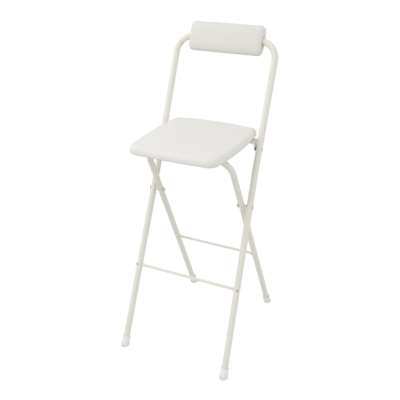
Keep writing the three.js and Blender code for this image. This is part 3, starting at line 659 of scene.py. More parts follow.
def bentTube(name, pointAt, sizes, corners, holeHeights):  # corners of (height, bend, steps), upwards
    margin = tubeLook["holeMargin"]
    stations = [(0, 0, 1), *corners]
    for height in holeHeights:
        stations += [(height - margin, 0, 1), (height + margin, 0, 1)]
    stations.sort()
    leg = [pointAt(-1, height) for height, _, _ in stations]
    leg[0] = leg[0] + (leg[1] - leg[0]).normalized() * (cap["sole"] + gap)
    piece = pathPiece(name, leg + [Vector((-point.x, point.y, point.z)) for point in reversed(leg)])
    for k, (label, sort) in enumerate((("bend", "FLOAT"), ("steps", "INT")), 1):
        values = [station[k] for station in stations]
        piece.data.attributes.new(label, sort, "POINT").data.foreach_set("value", values + values[::-1])
    grow(piece, bentTubes, {"Radius": sizes["radius"], "Sides": tubeLook["sides"], "Material": paint})
    face = piece.data.polygons[0]
    start = pointAt(-1 if piece.data.vertices[0].co.x < 0 else 1, 0)
    if face.normal.dot(face.center - Vector((start.x, face.center.y, face.center.z))) < 0:
        piece.data.flip_normals()
    return altered(piece, "SOLIDIFY", thickness=sizes["wall"], offset=-1)


def throughout(side):
    return across


def inward(side):
    return Vector((-side, 0, 0))


def screwHeading(side):  # square to the leg, turned outwards from its front
    turn = math.radians(footrestScrew["turn"])
    front = Vector((0, -1, longSlope)).normalized()
    return front * math.cos(turn) + across * (side * math.sin(turn))


def makeFrame(node, pointAt, sizes, corners, holes):  # holes of (height, radius, heading)
    corners = [*corners, (sizes["barHeight"], sizes["bend"], sizes["bendSteps"])]
    tube = bentTube(pieceName(node), pointAt, sizes, corners, {height for height, _, _ in holes})
    reach = sizes["radius"] * tubeLook["holeReach"]
    for side in sides.values():
        cut(tube, *[
            drill(
                pointAt(side, height), heading(side), radius + tubeLook["holeSlack"],
                -reach if heading is throughout else 0, reach)
            for height, radius, heading in holes])
    dress(smooth(tube), paint, "painted_frame", node)


def makeFrames():
    makeFrame(
        "long_frame_tube", longPoint, longFrame,
        [(longFrame["splayHeight"], longFrame["splayRadius"], longFrame["splaySteps"])],
        [(pivot.z, pins["pivot"], throughout), (hinge.z, pins["hinge"], throughout),
         (rods["footrestHeight"], rods["radius"], inward),
         (rods["footrestHeight"], footrestScrew["shank"], screwHeading)])
    makeFrame(
        "rear_leg_tube", rearPoint, rearFrame, [],
        [(pivot.z, pins["pivot"], throughout), (rods["braceHeight"], rods["radius"], inward)])


def makeFootrestRod():
    radius, chamfer, slack = rods["radius"], rods["chamfer"], tubeLook["holeSlack"]
    middle = middleOf("footrest_rod")
    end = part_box("footrest_rod")[1].x
    profile = [(-end, 0), (-end, radius, chamfer), (end, radius, chamfer), (end, 0)]
    bar = putAt(turned("footrestRod", profile, rods["sides"]), Vector((0, middle.y, middle.z)))
    for side in sides.values():
        cut(bar, drill(
            longPoint(side, rods["footrestHeight"]), screwHeading(side), footrestScrew["shank"] + slack,
            -footrestScrew["reach"] - slack, radius * 2))
    dress(smooth(bar), paint, "painted_frame", "footrest_rod")


def makeBraceRod():
    radius, rise, run = rods["radius"], rods["filletRise"], rods["filletLength"]
    middle = middleOf("rear_brace_rod")
    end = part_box("rear_brace_rod")[1].x
    face = abs(rearPoint(1, rods["braceHeight"]).x) - rearFrame["radius"] - gap
    face -= (radius + rise) * (rearFrame["footHalf"] - rearFrame["half"]) / rearFrame["barHeight"]
    half = [
        (face - run * (1 - share), radius + rise * share ** rods["filletPower"])
        for share in rods["filletAt"]]
    half += [(face, radius), (end, radius, rods["chamfer"]), (end, 0)]
    other = [(-along, *rest) for along, *rest in reversed(half)]

    def ripple(along, angle):
        near = max(0, 1 - abs(abs(along) - face + run / 3) / run)
        return rods["ripple"] * near * math.sin(angle * rods["ripples"])

    bar = turned("rearBraceRod", other + half, rods["weldedSides"], ripple=ripple)
    putAt(bar, Vector((0, middle.y, middle.z)))
    dress(smooth(bar, rods["sharp"]), paint, "painted_frame", "rear_brace_rod")


def makeFootCap(node, pointAt, tubeRadius):
    side = 1 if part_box(node)[0].x > 0 else -1
    foot = pointAt(side, 0)
    height, bead, flare = cap["height"], cap["bead"], cap["flare"]
    rim, bore = tubeRadius + cap["wall"], tubeRadius + gap
    beadFrom = height - cap["beadHeight"]
    corners = [
        (height * cap["skirt"], rim + flare - flare * cap["skirtFlare"]), (height / 2, rim), (beadFrom, rim),
        (beadFrom + bead, rim + bead), (height - bead, rim + bead), (height, rim), (height, bore)]
    sleeve = turned(pieceName(node), [
        (-height, 0), (-height, rim + flare), (0, rim + flare),
        *[(*corner, rounding) for corner, rounding in zip(corners, cap["roundings"])],
        (cap["sole"], bore), (cap["sole"], 0),
    ], cap["sides"])
    putAt(sleeve, foot, (pointAt(side, height) - foot).normalized())
    shape = bmesh.new()
    shape.from_mesh(sleeve.data)
    bmesh.ops.bisect_plane(
        shape, geom=shape.verts[:] + shape.edges[:] + shape.faces[:], plane_co=(0, 0, 0), plane_no=upright,
        clear_inner=True)

    def rimEdges():
        return [edge for edge in shape.edges if all(abs(vert.co.z) < hair for vert in edge.verts)]

    bmesh.ops.edgeloop_fill(shape, edges=rimEdges())
    bmesh.ops.bevel(
        shape, geom=rimEdges(), offset=cap["toe"], segments=cap["toeSteps"], profile=0.5, affect="EDGES")
    bmesh.ops.recalc_face_normals(shape, faces=shape.faces)
    shape.to_mesh(sleeve.data)
    shape.free()
    dress(smooth(sleeve, cap["sharp"]), capPlastic, "foot_caps", node)


makeFrames()
makeFootrestRod()
makeBraceRod()
for name in sides:
    makeFootCap("front_foot_" + name, longPoint, longFrame["radius"])
    makeFootCap("rear_foot_" + name, rearPoint, rearFrame["radius"])
print("frames, rods and foot caps made")

hardware = {
    "edge": 0.00025, "tip": 0.0004, "boltHead": 0.0065, "boltHeadHeight": 0.0022,
    "spacer": 0.0055, "washer": 0.0075, "hingeWasher": 0.005,
    "nutFlats": 0.010, "nutDome": 0.0047, "nutDomeHeight": 0.003, "nutWall": 0.0008, "nutSides": 60,
    "nutFaceEdge": 0.0004, "nutRise": 0.0005, "nutStep": 0.0001,
    "rivetHead": 0.00475, "rivetHeadHeight": 0.002,
    "headEdge": 0.25, "headRounding": 0.0002, "domeSteps": 9,
    "flatter": 0.6,  # how far the outer heads and the nuts rise, as a share of the frame's
}


def domeProfile(base, radius, height):  # from its rim to its top
    steps = hardware["domeSteps"]
    turns = [quarterTurn * k / steps for k in range(steps)]
    rim = [(base + height * math.sin(turn), radius * math.cos(turn)) for turn in turns]
    return rim + [(base + height, 0)]


def lowHead(base, radius, height):  # a screw or rivet head: short straight edge, then a low dome
    edge = height * hardware["headEdge"]
    start = (base, radius - abs(edge) / 3, hardware["headRounding"])
    return [start, *domeProfile(base + edge, radius, height - edge)]


def makeTurned(node, side, axis, profile, material, slot, **more):  # turned about the pivot's or hinge's axis
    piece = turned(pieceName(node), profile, **more)
    putAt(piece, Vector((0, axis.y, axis.z)), across * side)
    dress(smooth(piece), material, slot, node)


def makeWasher(node, side, axis, radius, shank, material, slot):
    edge, bore = hardware["edge"], shank + gap
    near, far = reachOf(node)
    makeTurned(node, side, axis, [
        (near, bore), (near, radius - edge), (near + edge, radius), (far - edge, radius),
        (far, radius - edge), (far, bore),
    ], material, slot, closed=True)


def makePivot(name, side):
    size, shank = hardware, pins["pivot"]
    inner, outer = reachOf("pivot_bolt_" + name)
    face = outer - size["boltHeadHeight"]
    makeTurned("pivot_bolt_" + name, side, pivot, [
        (inner, 0), (inner, shank, size["tip"]), (face, shank),
        *lowHead(face, size["boltHead"], size["boltHeadHeight"] * size["flatter"]),
    ], paint, "painted_bolts")
    makeWasher("pivot_spacer_" + name, side, pivot, size["spacer"], shank, spacerPlastic, "spacers")
    makeWasher("pivot_washer_" + name, side, pivot, size["washer"], shank, zinc, "zinc_hardware")
    tip, face = reachOf("pivot_nut_" + name)  # hexagon with a round closed end, over the bolt's end
    flats, height = size["nutFlats"], size["nutDomeHeight"]
    corner = flats / math.sqrt(3)
    bore, boreEnd = shank + gap, inner - gap
    hexEnd = height + min(tip + height * (1 - size["flatter"]), boreEnd - size["nutWall"])
    makeTurned("pivot_nut_" + name, side, pivot, [
        (boreEnd, 0), (boreEnd, bore), (face, bore), (face, flats / 2), (face - size["nutFaceEdge"], corner),
        (hexEnd + size["nutRise"], corner), (hexEnd, flats / 2 - size["nutStep"]),
        *[(hexEnd - rise, radius) for rise, radius in domeProfile(0, size["nutDome"], height)],
    ], zinc, "zinc_hardware", count=size["nutSides"], flats=flats)


def makeHingePin(name, side):
    size, shank, height = hardware, pins["hinge"], hardware["rivetHeadHeight"]
    inner, outer = reachOf("hinge_rivet_" + name)
    makeTurned("hinge_rivet_" + name, side, hinge, [
        *reversed(lowHead(inner + height, size["rivetHead"], -height)), (inner + height, shank),
        (outer - height, shank), *lowHead(outer - height, size["rivetHead"], height * size["flatter"]),
    ], zinc, "zinc_hardware")
    makeWasher("hinge_washer_" + name, side, hinge, size["hingeWasher"], shank, blackNylon, "black_nylon")


def makeFootrestScrew(name, side):
    size, node = footrestScrew, "footrest_screw_" + name
    face = longFrame["radius"] + gap
    screw = turned(pieceName(node), [
        (-size["reach"], 0), (-size["reach"], size["shank"], size["tip"]), (face, size["shank"]),
        *lowHead(face, size["head"], size["height"]),
    ])
    floor = face + size["height"] - size["socketDepth"]
    corner = size["socket"] / math.sqrt(3)
    cut(screw, drill(Vector(), across, corner, floor, floor + size["beyond"], size["socketSides"]))
    # the faces inside the socket, which get the painted shade colour
    inSocket = [
        face.index for face in screw.data.polygons
        if face.center.x > floor - gap and math.hypot(face.center.y, face.center.z) < corner]
    putAt(screw, longPoint(side, rods["footrestHeight"]), screwHeading(side))
    dress(smooth(screw), zinc, "zinc_hardware", node)
    screw.data.materials.append(socketGrime)
    for index in inSocket:
        screw.data.polygons[index].material_index = 1


for make in (makePivot, makeHingePin, makeFootrestScrew):
    for name, side in sides.items():
        make(name, side)
print("bolts, nuts, rivets and washers made")

bracket = {
    "plate": 0.002, "bend": 0.004, "corner": 0.005, "edge": 0.00035, "columns": 18, "flangeRow": 10,
    "earHalf": 0.0085, "earTip": 0.0065, "shoulder": 0.002, "shoulderPower": 1.5, "ledge": 0.0006,
    "bendSteps": 8, "shoulderSteps": 5, "tipSteps": 12, "tipEnd": 87,
    "screwInset": 0.031, "screwEdge": 0.007, "pinHole": 0.0028, "pinReach": (-0.006, 0.004),
}
screwHole = {"radius": 0.0021, "sides": 24}


def holeAt(piece, x, y, z, start, end, sides=screwHole["sides"]):
    cut(piece, drill(Vector((x, y, z)), upright, screwHole["radius"], start, end, sides))


def makeBracket(name, side):  # one plate: flange under the board, bend, and a round-ended ear
    size, node = bracket, "hinge_bracket_" + name
    low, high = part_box(node)
    inner, outer = reachOf(node)
    top, half = high.z, (high.y - low.y) / 2
    bend, corner, shoulder = size["bend"], size["corner"], size["shoulder"]
    earHalf, earTip, steps = size["earHalf"], size["earTip"], size["bendSteps"]
    bends = [quarterTurn * k / steps for k in range(steps + 1)]
    rows = [(inner + corner * (1 - math.cos(t)), top, half - corner * (1 - math.sin(t))) for t in bends]
    rows += [(x, top, half) for x in np.linspace(inner + corner, outer - bend, steps)[1:]]
    rows += [(outer - bend * (1 - math.sin(t)), top - bend * (1 - math.cos(t)), half) for t in bends[1:]]
    ledge = top - bend - size["ledge"]
    for k in range(size["shoulderSteps"] + 1):
        rise = math.sin(quarterTurn * k / size["shoulderSteps"])
        flare = shoulder * (1 - rise) ** size["shoulderPower"]
        rows.append((outer, ledge - shoulder * rise, earHalf + flare))
    for share in np.linspace(0, 1, size["shoulderSteps"] + 1)[1:]:
        z = ledge - shoulder + (hinge.z - ledge + shoulder) * share
        rows.append((outer, z, earHalf + (earTip - earHalf) * share))
    for k in range(1, size["tipSteps"] + 1):
        turn = math.radians(size["tipEnd"]) * k / size["tipSteps"]
        rows.append((outer, hinge.z - earTip * math.sin(turn), earTip * math.cos(turn)))
    columns = size["columns"]
    count = columns + 1
    points = [
        (side * x, hinge.y + width * (2 * k / columns - 1), z)
        for x, z, width in rows for k in range(count)]
    faces = []
    for start in (r * count + k for r in range(len(rows) - 1) for k in range(columns)):
        face = [start, start + count, start + count + 1, start + 1]
        faces.append(face if side > 0 else face[::-1])
    piece = meshPiece(pieceName(node), points, faces)
    if piece.data.polygons[count * size["flangeRow"]].normal.z < 0:
        piece.data.flip_normals()
    altered(piece, "SOLIDIFY", thickness=size["plate"], offset=-1)
    rounded(piece, size["edge"])
    start, end = size["pinReach"]
    pinSpot = Vector((0, hinge.y, hinge.z))
    cut(piece, drill(pinSpot, across * side, size["pinHole"], outer + start, outer + end))
    screwX, pitch = side * (outer - size["screwInset"]), half - size["screwEdge"]
    for y in (hinge.y - pitch, hinge.y + pitch):
        holeAt(piece, screwX, y, top, start, end)
    dress(smooth(piece), zinc, "zinc_hardware", node)


saddle = {
    "wall": 0.004, "base": 0.003, "frontDrop": 0.006, "lipRise": 0.0055, "chamfer": 0.0015, "edge": 0.0006,
    "edgeSteps": 3, "edgeFrom": 50, "channelSteps": 32, "holeReach": (-0.02, 0.004), "sharp": 40,
}


def makeSaddle(name):  # screw tabs and a channel: deep wall in front, a short lip behind
    node = "bar_saddle_" + name
    low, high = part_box(node)
    inner = rearFrame["radius"] + gap
    outer = inner + saddle["wall"]
    reach = (high.y - low.y) / 2
    top = high.z - seatBar.z
    under = top - saddle["base"]
    drop, rise, chamfer = saddle["frontDrop"], saddle["lipRise"], saddle["chamfer"]
    lip = math.asin(rise / inner)
    outline = [
        (-reach, top), (-reach, under), (-outer, under), (-outer, -drop + chamfer),
        (-outer + chamfer, -drop), (-inner, -drop),
    ]
    for k in range(saddle["channelSteps"] + 1):
        angle = math.pi + (lip - math.pi) * k / saddle["channelSteps"]
        outline.append((inner * math.cos(angle), inner * math.sin(angle)))
    outline += [
        (outer - chamfer, rise), (outer, rise + chamfer), (outer, under), (reach, under), (reach, top)]
    piece = plateFrom(
        pieceName(node), outline, high.x - low.x, lambda y, z, x: (low.x + x, seatBar.y + y, seatBar.z + z))
    rounded(piece, saddle["edge"], saddle["edgeSteps"], saddle["edgeFrom"])
    for place in ("front", "rear"):
        spot = middleOf("saddle_screw_" + name + "_" + place)
        holeAt(piece, spot.x, spot.y, high.z, *saddle["holeReach"])
    dress(smooth(piece, saddle["sharp"]), blackNylon, "black_nylon", node)


for name, side in sides.items():
    makeBracket(name, side)
    makeSaddle(name)
print("brackets and saddles made")

woodScrew = {
    "head": 0.0038, "headHeight": 0.0022, "shank": 0.0018, "length": 0.011, "point": 0.003, "sides": 28,
    "recess": 0.0021, "recessWidth": 0.0008, "recessDepth": 0.0012, "seed": 7,
}
woodScrewNodes = sorted(name for name in cadNodes if name.startswith(("bracket_screw", "saddle_screw")))


def makeWoodScrews():  # eight pan heads with a cross recess, heads down
    size = woodScrew
    screw = turned("screw", [
        *reversed(lowHead(0, size["head"], -size["headHeight"])), (0, size["shank"]),
        (size["length"] - size["point"], size["shank"]), (size["length"], 0),
    ], size["sides"])
    reach, width = size["recess"], size["recessWidth"] / 2
    arm = ((reach, -width), (reach, width), (width, width))
    cross = []
    for turn in (quarterTurn * k for k in range(4)):
        cos, sin = math.cos(turn), math.sin(turn)
        cross += [(x * cos - y * sin, x * sin + y * cos) for x, y in arm]
    cut(screw, plateFrom("recess", cross, size["recessDepth"] * 2, lambda x, y, z: (
        z - size["headHeight"] - size["recessDepth"], x, y)))
    smooth(putAt(screw, Vector(), upright))
    spots = []
    for name in woodScrewNodes:
        middle = middleOf(name)
        spots.append((middle.x, middle.y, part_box(name)[0].z + size["headHeight"]))
    screws = meshPiece("seatScrews", spots)
    grow(screws, screwsAtPoints, {"Screw": screw, "Seed": size["seed"], "Material": zinc})
    discard(screw)
    dress(screws, zinc, "zinc_hardware", *woodScrewNodes)


makeWoodScrews()
print("wood screws made")


# Soft pieces
def ringSkin(name, rings, poles=()):  # skin over rings of equal count, closed on poles or on itself
    count = len(rings[0])
    points = [point for ring in rings for point in ring]
    starts = [r * count for r in range(len(rings))]
    pairs = list(zip(starts, starts[1:])) + ([] if poles else [(starts[-1], 0)])
    faces = [
        [low + k, low + (k + 1) % count, high + (k + 1) % count, high + k]
        for low, high in pairs for k in range(count)]
    for start, pole in zip((0, starts[-1]), poles):
        points.append(pole)
        faces += [[start + k, start + (k + 1) % count, len(points) - 1] for k in range(count)]
    return facesOut(meshPiece(name, points, faces), merged=False)


def vectorsOf(items, key):
    found = np.zeros(len(items) * 3)
    items.foreach_get(key, found)
    return found.reshape(-1, 3)


def placesOf(piece):
    return vectorsOf(piece.data.vertices, "co")


def normalsOf(piece):
    return vectorsOf(piece.data.vertex_normals, "vector")


def reshape(piece, spots):
    piece.data.vertices.foreach_set("co", np.ascontiguousarray(spots).reshape(-1))
    piece.data.update()


def evened(piece, values, rounds):  # each value drawn to the mean of its neighbours
    ends = np.zeros(len(piece.data.edges) * 2, dtype=np.int64)
    piece.data.edges.foreach_get("vertices", ends)
    low, high = ends.reshape(-1, 2).T
    count = np.bincount(low, minlength=len(values)) + np.bincount(high, minlength=len(values))
    for _ in range(rounds):
        around = np.bincount(low, values[high], len(values)) + np.bincount(high, values[low], len(values))
        values = values / 2 + around / np.maximum(count, 1) / 2
    return values


cloth = {"quality": 6, "mass": 0.3, "frames": 20, "evening": 24, "lastEvening": 2}


def blowUp(skin, held, size):  # runs the cloth and leaves its last shape in the mesh
    pinned = skin.vertex_groups.new(name="held")
    pinned.add(np.flatnonzero(held(placesOf(skin))).tolist(), 1.0, "REPLACE")
    modifier = skin.modifiers.new("cloth", "CLOTH")
    for key, value in {
            "quality": cloth["quality"], "mass": cloth["mass"], "bending_stiffness": size["bending"],
            "tension_stiffness": size["tension"], "compression_stiffness": size["tension"],
            "use_pressure": True, "uniform_pressure_force": size["pressure"],
            "vertex_group_mass": pinned.name}.items():
        setattr(modifier.settings, key, value)
    modifier.settings.effector_weights.gravity = 0
    modifier.point_cache.frame_end = cloth["frames"]
    for number in range(1, cloth["frames"] + 1):
        bpy.context.scene.frame_set(number)
    settle(skin)
    bpy.context.scene.frame_set(1)


# Blows up a remeshed copy as cloth, then moves each point of the piece out to it along its normal
def plump(piece, held, size):
    spots, outward = placesOf(piece), normalsOf(piece)
    skin = newPiece(piece.name + "Cloth", piece.data.copy())
    reshape(skin, spots - outward * size["slack"])
    altered(skin, "REMESH", mode="VOXEL", voxel_size=size["voxel"])
    before = placesOf(skin)
    blowUp(skin, held, size)
    drift = placesOf(skin) - before
    blown = before + np.stack([evened(skin, drift[:, k], cloth["evening"]) for k in range(3)], 1)
    tree = BVHTree.FromPolygons(
        [Vector(spot) for spot in blown], [tuple(face.vertices) for face in skin.data.polygons])
    moves = np.zeros(len(spots))
    for k in np.flatnonzero(~held(spots)):
        start = Vector(spots[k] - outward[k] * size["probe"])
        hit = tree.ray_cast(start, Vector(outward[k]), size["probe"] + size["reach"])[0]
        if hit is not None:
            moves[k] = (hit - start).length - size["probe"]
    moves = np.where(moves > 0, moves * size["share"], size["sink"] * np.tanh(moves / size["sink"]))
    reshape(piece, spots + outward * evened(piece, moves, cloth["lastEvening"])[:, None])
    discard(skin)
    print(piece.name, "blown up as cloth, by at most", round(float(moves.max()) * 1000, 2), "mm")


softWaves = {"count": 9, "lengths": (0.7, 1.6), "phase": 6.3}


def softNoise(spots, size, seed):  # smooth unevenness of about that size
    turns = np.random.default_rng(seed)
    total = np.zeros(len(spots))
    for _ in range(softWaves["count"]):
        heading = turns.normal(size=3)
        heading /= np.linalg.norm(heading)
        rate = 2 * math.pi / size / turns.uniform(*softWaves["lengths"])
        total += np.sin(spots @ heading * rate + turns.uniform(0, softWaves["phase"]))
    return total / softWaves["count"]


seat = {
    "sideBow": 0.013, "rearBow": 0.018, "rearCorner": 0.015, "frontBow": 0.005, "frontCorner": 0.030,
    "edgeRound": 0.007, "belly": 0.0075, "shoulder": 0.017, "shoulderInset": 0.0125, "crown": 0.0042,
    "crownFullness": 2.4, "crownSpread": 1.4, "shoulderTurn": 86, "even": 0.0095, "cover": 0.0012,
    "hem": 0.009, "hemSlope": 0.0002, "hemHeld": 0.004, "edgeFlat": 0.001,
    "pocketMiddle": 0.94, "pocketEdge": 0.002, "pocketHeld": 0.002,
    "sideSteps": 30, "cornerSteps": 20, "bellySteps": 9, "shoulderSteps": 16, "crownSteps": 34,
    "pocketSteps": 8, "wallSteps": 5, "turnInSteps": 4, "hemSteps": 7,
    "pucker": 0.00035, "puckers": 30, "puckerPhase": 0.6, "puckerFrom": 0.72, "puckerOver": 0.2,
    "skirt": 0.011, "sideways": 0.2, "upwards": 0.1, "hemEdge": (0.0002, 0.0004),
    "lumps": 0.0004, "lumpSize": 0.11, "lumpSeed": 4, "sharp": 70,
    "voxel": 0.005, "slack": 0.0016, "pressure": 1.2, "tension": 18.0, "bending": 0.6,
    "probe": 0.006, "reach": 0.03, "share": 0.2, "sink": 0.0001,
}
seatLow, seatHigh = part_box("seat_cover")
seatHalf = seatHigh.x
seatDepthHalf = (seatHigh.y - seatLow.y) / 2
seatMiddle = (seatHigh.y + seatLow.y) / 2
boardInset = seat["edgeRound"] + seat["cover"] + gap
hemInset = seat["edgeRound"] + seat["hem"]


def bowRadius(halfLength, bow):
    return (halfLength**2 + bow**2) / (2 * bow)


sideRadius = bowRadius(seatDepthHalf, seat["sideBow"])
sideCentre = Vector((seatHalf - sideRadius, 0))


def seatEnd(name):  # a shallow end arc, and the corner arc that joins it to the side, drawn at the rear
    corner = seat[name + "Corner"]
    radius = bowRadius(seatHalf, seat[name + "Bow"])
    centre = Vector((0, seatDepthHalf - radius))
    toSide, toEnd = sideRadius - corner, radius - corner
    apart = (centre - sideCentre).length
    along = (toSide**2 - toEnd**2 + apart**2) / (2 * apart)
    unit = (centre - sideCentre).normalized()
    middle = sideCentre + unit * along + Vector((-unit.y, unit.x)) * math.sqrt(toSide**2 - along**2)
    low = math.atan2(*reversed(middle - sideCentre))
    high = math.atan2(*reversed(middle - centre))
    return {
        "radius": radius, "centre": centre.y, "corner": corner, "middle": middle, "low": low, "high": high}


seatRear, seatFront = seatEnd("rear"), seatEnd("front")


def seatArcs():  # eight tangent arcs: (x, y, radius, from, to, steps)
    half, many, few = math.pi, seat["sideSteps"], seat["cornerSteps"]
    arcs = []
    for turn, end, other in ((0, seatRear, seatFront), (half, seatFront, seatRear)):
        facing = -1 if turn else 1
        (x, y), low, high = end["middle"] * facing, end["low"], end["high"]
        arcs += [
            (sideCentre.x * facing, 0, sideRadius, turn - other["low"], turn + low, many),
            (x, y, end["corner"], turn + low, turn + high, few),
            (0, end["centre"] * facing, end["radius"], turn + high, turn + half - high, many),
            (-x, y, end["corner"], turn + half - high, turn + half - low, few),
        ]
    return arcs


outlineArcs = seatArcs()


def seatRing(inset, z):  # shrinks evenly near the edge, then in proportion and rounder to the middle
    even = min(inset, seat["even"])
    reach = seatHalf - even
    scale = (seatHalf - inset) / reach
    ring = []
    for centreX, centreY, radius, start, end, steps in outlineArcs:
        for k in range(steps):
            angle = start + (end - start) * k / steps
            x = (radius - even) * math.cos(angle) + centreX
            y = (radius - even) * math.sin(angle) + centreY
            rounder = scale * (reach / math.hypot(x, y) * (1 - scale) + scale)
            ring.append((x * rounder, y * rounder + seatMiddle, z))
    return ring


def cushionRings(pocket):  # pocket for the board, hem, round edge and crown, from the inside out
    size, bottom = seat, seatLow.z
    side = boardInset - gap
    turnIn = bottom + size["cover"]
    widest = bottom + size["belly"]
    inner = np.linspace(seatHalf * size["pocketMiddle"], side + size["pocketEdge"], size["pocketSteps"])
    spans = [(inset, pocket) for inset in [*inner, side]]
    spans += [(side, z) for z in np.linspace(pocket, turnIn, size["wallSteps"])[1:]]
    spans += [(inset, turnIn) for inset in np.linspace(side, hemInset, size["turnInSteps"])[1:]]
    spans.append((hemInset + size["hemSlope"], bottom + size["cover"] / 2))
    outer = size["edgeRound"] + size["edgeFlat"]
    spans += [(inset, bottom) for inset in np.linspace(hemInset, outer, size["hemSteps"])]
    for k in range(size["bellySteps"]):
        turn = quarterTurn * (1 - k / size["bellySteps"])
        inset = size["edgeRound"] * (1 - math.cos(turn))
        spans.append((inset, bottom + size["belly"] * (1 - math.sin(turn))))
    for k in range(size["shoulderSteps"]):
        turn = math.radians(size["shoulderTurn"]) * k / (size["shoulderSteps"] - 1)
        inset = size["shoulderInset"] * (1 - math.cos(turn))
        spans.append((inset, widest + size["shoulder"] * math.sin(turn)))
    flat = seatHalf - size["shoulderInset"]
    for k in range(1, size["crownSteps"]):
        share = (k / size["crownSteps"]) ** size["crownSpread"]
        rise = size["crown"] * (1 - (1 - share) ** size["crownFullness"])
        spans.append((size["shoulderInset"] + flat * share, widest + size["shoulder"] + rise))
    return [seatRing(inset, z) for inset, z in spans]


def makeCushion():
    size = seat
    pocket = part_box("seat_board")[1].z + gap
    peak = seatLow.z + size["belly"] + size["shoulder"] + size["crown"]
    poles = [(0, seatMiddle, pocket), (0, seatMiddle, peak)]
    cushion = ringSkin("seatCushion", cushionRings(pocket), poles)

    def offMiddle(spots):
        return np.abs(spots[:, 0]), np.abs(spots[:, 1] - seatMiddle), spots[:, 2]

    def held(spots):  # the hem and the pocket
        x, y, z = offMiddle(spots)
        inside = (x < seatHalf - boardInset) & (y < seatDepthHalf - boardInset)
        return (z < seatLow.z + size["hemHeld"]) | (inside & (z < pocket + size["pocketHeld"]))

    plump(cushion, held, size)
    spots, outward = placesOf(cushion), normalsOf(cushion)
    x, y, z = offMiddle(spots)
    height = z - seatLow.z
    hemLow, hemHigh = size["hemEdge"]
    cornerShare = np.minimum(x / seatHalf, y / seatDepthHalf) - size["puckerFrom"]
    rear = spots[:, 1] > seatMiddle
    cornerX, cornerY = np.where(rear, *(np.array(end["middle"])[:, None] for end in (seatRear, seatFront)))
    fold = np.sin(np.arctan2(y - cornerY, x - cornerX) * size["puckers"] + size["puckerPhase"])
    outside = (outward[:, 2] < size["sideways"]) & ((height < hemLow) | (height > hemHigh))
    moves = size["pucker"] * np.clip(cornerShare / size["puckerOver"], 0, 1) * fold
    moves *= np.clip(1 - height / size["skirt"], 0, 1) * outside
    top = np.clip(height / size["skirt"] - 1, 0, 1) * (outward[:, 2] > size["upwards"])
    moves += size["lumps"] * top * softNoise(spots, size["lumpSize"], size["lumpSeed"])
    reshape(cushion, spots + outward * moves[:, None])
    dress(smooth(cushion, size["sharp"]), seatVinyl, "seat_cover", "seat_cover", "seat_foam")


staple = {
    "width": 0.0095, "wire": 0.0011, "thickness": 0.0005, "bevel": 0.4, "leg": 0.002, "off": 0.00005,
    "pitch": 0.024, "jitter": 0.16, "inset": 0.0115, "seed": 11,
}


def makeStaples():  # flat wire staples that hold the hem, shot in along it
    half, leg, thick, deep = staple["width"] / 2, staple["leg"], staple["thickness"], staple["wire"] / 2
    bevel = thick * staple["bevel"]
    left = [(-half, leg), (-half, bevel - thick), (-half + bevel, -thick)]
    inner = [(-half + thick, 0), (-half + thick, leg)]
    outline = left + [(-x, z) for x, z in reversed(left)] + [(-x, z) for x, z in reversed(inner)] + inner
    one = smooth(plateFrom("staple", outline, deep * 2, lambda x, z, y: (x, y - deep, z)))
    row = pathPiece("hemStaples", seatRing(staple["inset"], seatLow.z - staple["off"]), closed=True)
    low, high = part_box("hinge_bracket_right")
    grow(row, rows, {
        "Piece": one, "Pitch": staple["pitch"], "Jitter": staple["jitter"], "Seed": staple["seed"],
        "Clear Beyond X": low.x - staple["width"], "Clear Middle Y": (low.y + high.y) / 2,
        "Clear Half Y": (high.y - low.y) / 2 + staple["width"], "Material": zinc,
    })
    discard(one)
    dress(row, zinc, "zinc_hardware", body="seat")


liningLook = {"edge": 0.00025, "edgeFrom": 60, "holeReach": 0.003, "holeSides": 20}


def makeLining():  # bonded cloth under the board, inside the hem
    low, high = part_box("seat_lining")
    outline = [(x, y) for x, y, _ in seatRing(hemInset + gap, low.z)]
    lining = plateFrom("seatLining", outline, high.z - low.z, lambda x, y, z: (x, y, low.z + z))
    rounded(lining, liningLook["edge"], 1, liningLook["edgeFrom"])
    for name in woodScrewNodes:
        spot, reach = middleOf(name), liningLook["holeReach"]
        holeAt(lining, spot.x, spot.y, low.z, -reach, reach, liningLook["holeSides"])
    dress(smooth(lining), felt, "lining", "seat_lining")


makeCushion()
makeStaples()
makeLining()
print("seat made")

pad = {
    "overBend": 0.008, "up": 0.0435, "down": 0.043, "front": 0.0095, "back": 0.0075,
    "endRound": {-1: 0.008, 1: 0.0115}, "endShare": 0.4, "boreGap": 0.001, "squareness": 3.2,
    "around": 168, "along": 40, "endSteps": 22, "faceSteps": 12, "boreSteps": 30,
    "endDome": 0.0012, "tuck": 0.0026, "tuckPower": 5,
    "heldNear": 0.0025, "freeFrom": 0.004, "endwards": 0.98,
    "seamAt": 0.0046, "seamDepth": 0.0009, "seamWidth": 0.0011, "gather": 0.00014, "gathers": 34,
    "gatherReach": 0.0055, "gatherDrift": 1.2, "gatherDrifts": 5,
    "closing": 0.0007, "closingAt": 0.004, "closingWidth": 0.0012,
    "lumps": 0.0005, "lumpSize": 0.07, "lumpSeed": 9, "sharp": 75,
    "voxel": 0.004, "slack": 0.0008, "pressure": 2.6, "tension": 16.0, "bending": 0.5,
    "probe": 0.005, "reach": 0.02, "share": 0.25, "sink": 0.0002,
}
stitch = {
    "length": 0.0032, "radius": 0.00028, "taperAt": 0.42, "taper": 0.8, "sides": 8, "sharp": 80,
    "pitch": 0.0046, "jitter": 0.06, "seed": 3,
    "line": 0.0066, "short": 0.004, "points": 90, "from": 0.1, "deep": 0.5,
}
barMiddle = longPoint(0, longFrame["barHeight"])
barHalf = longFrame["half"] - longFrame["bend"]
boreRadius = longFrame["radius"] + pad["boreGap"]
padHalf = barHalf + pad["overBend"]
padPlace = Matrix.Translation(barMiddle) @ Matrix.Rotation(-math.atan(longSlope), 4, "X")
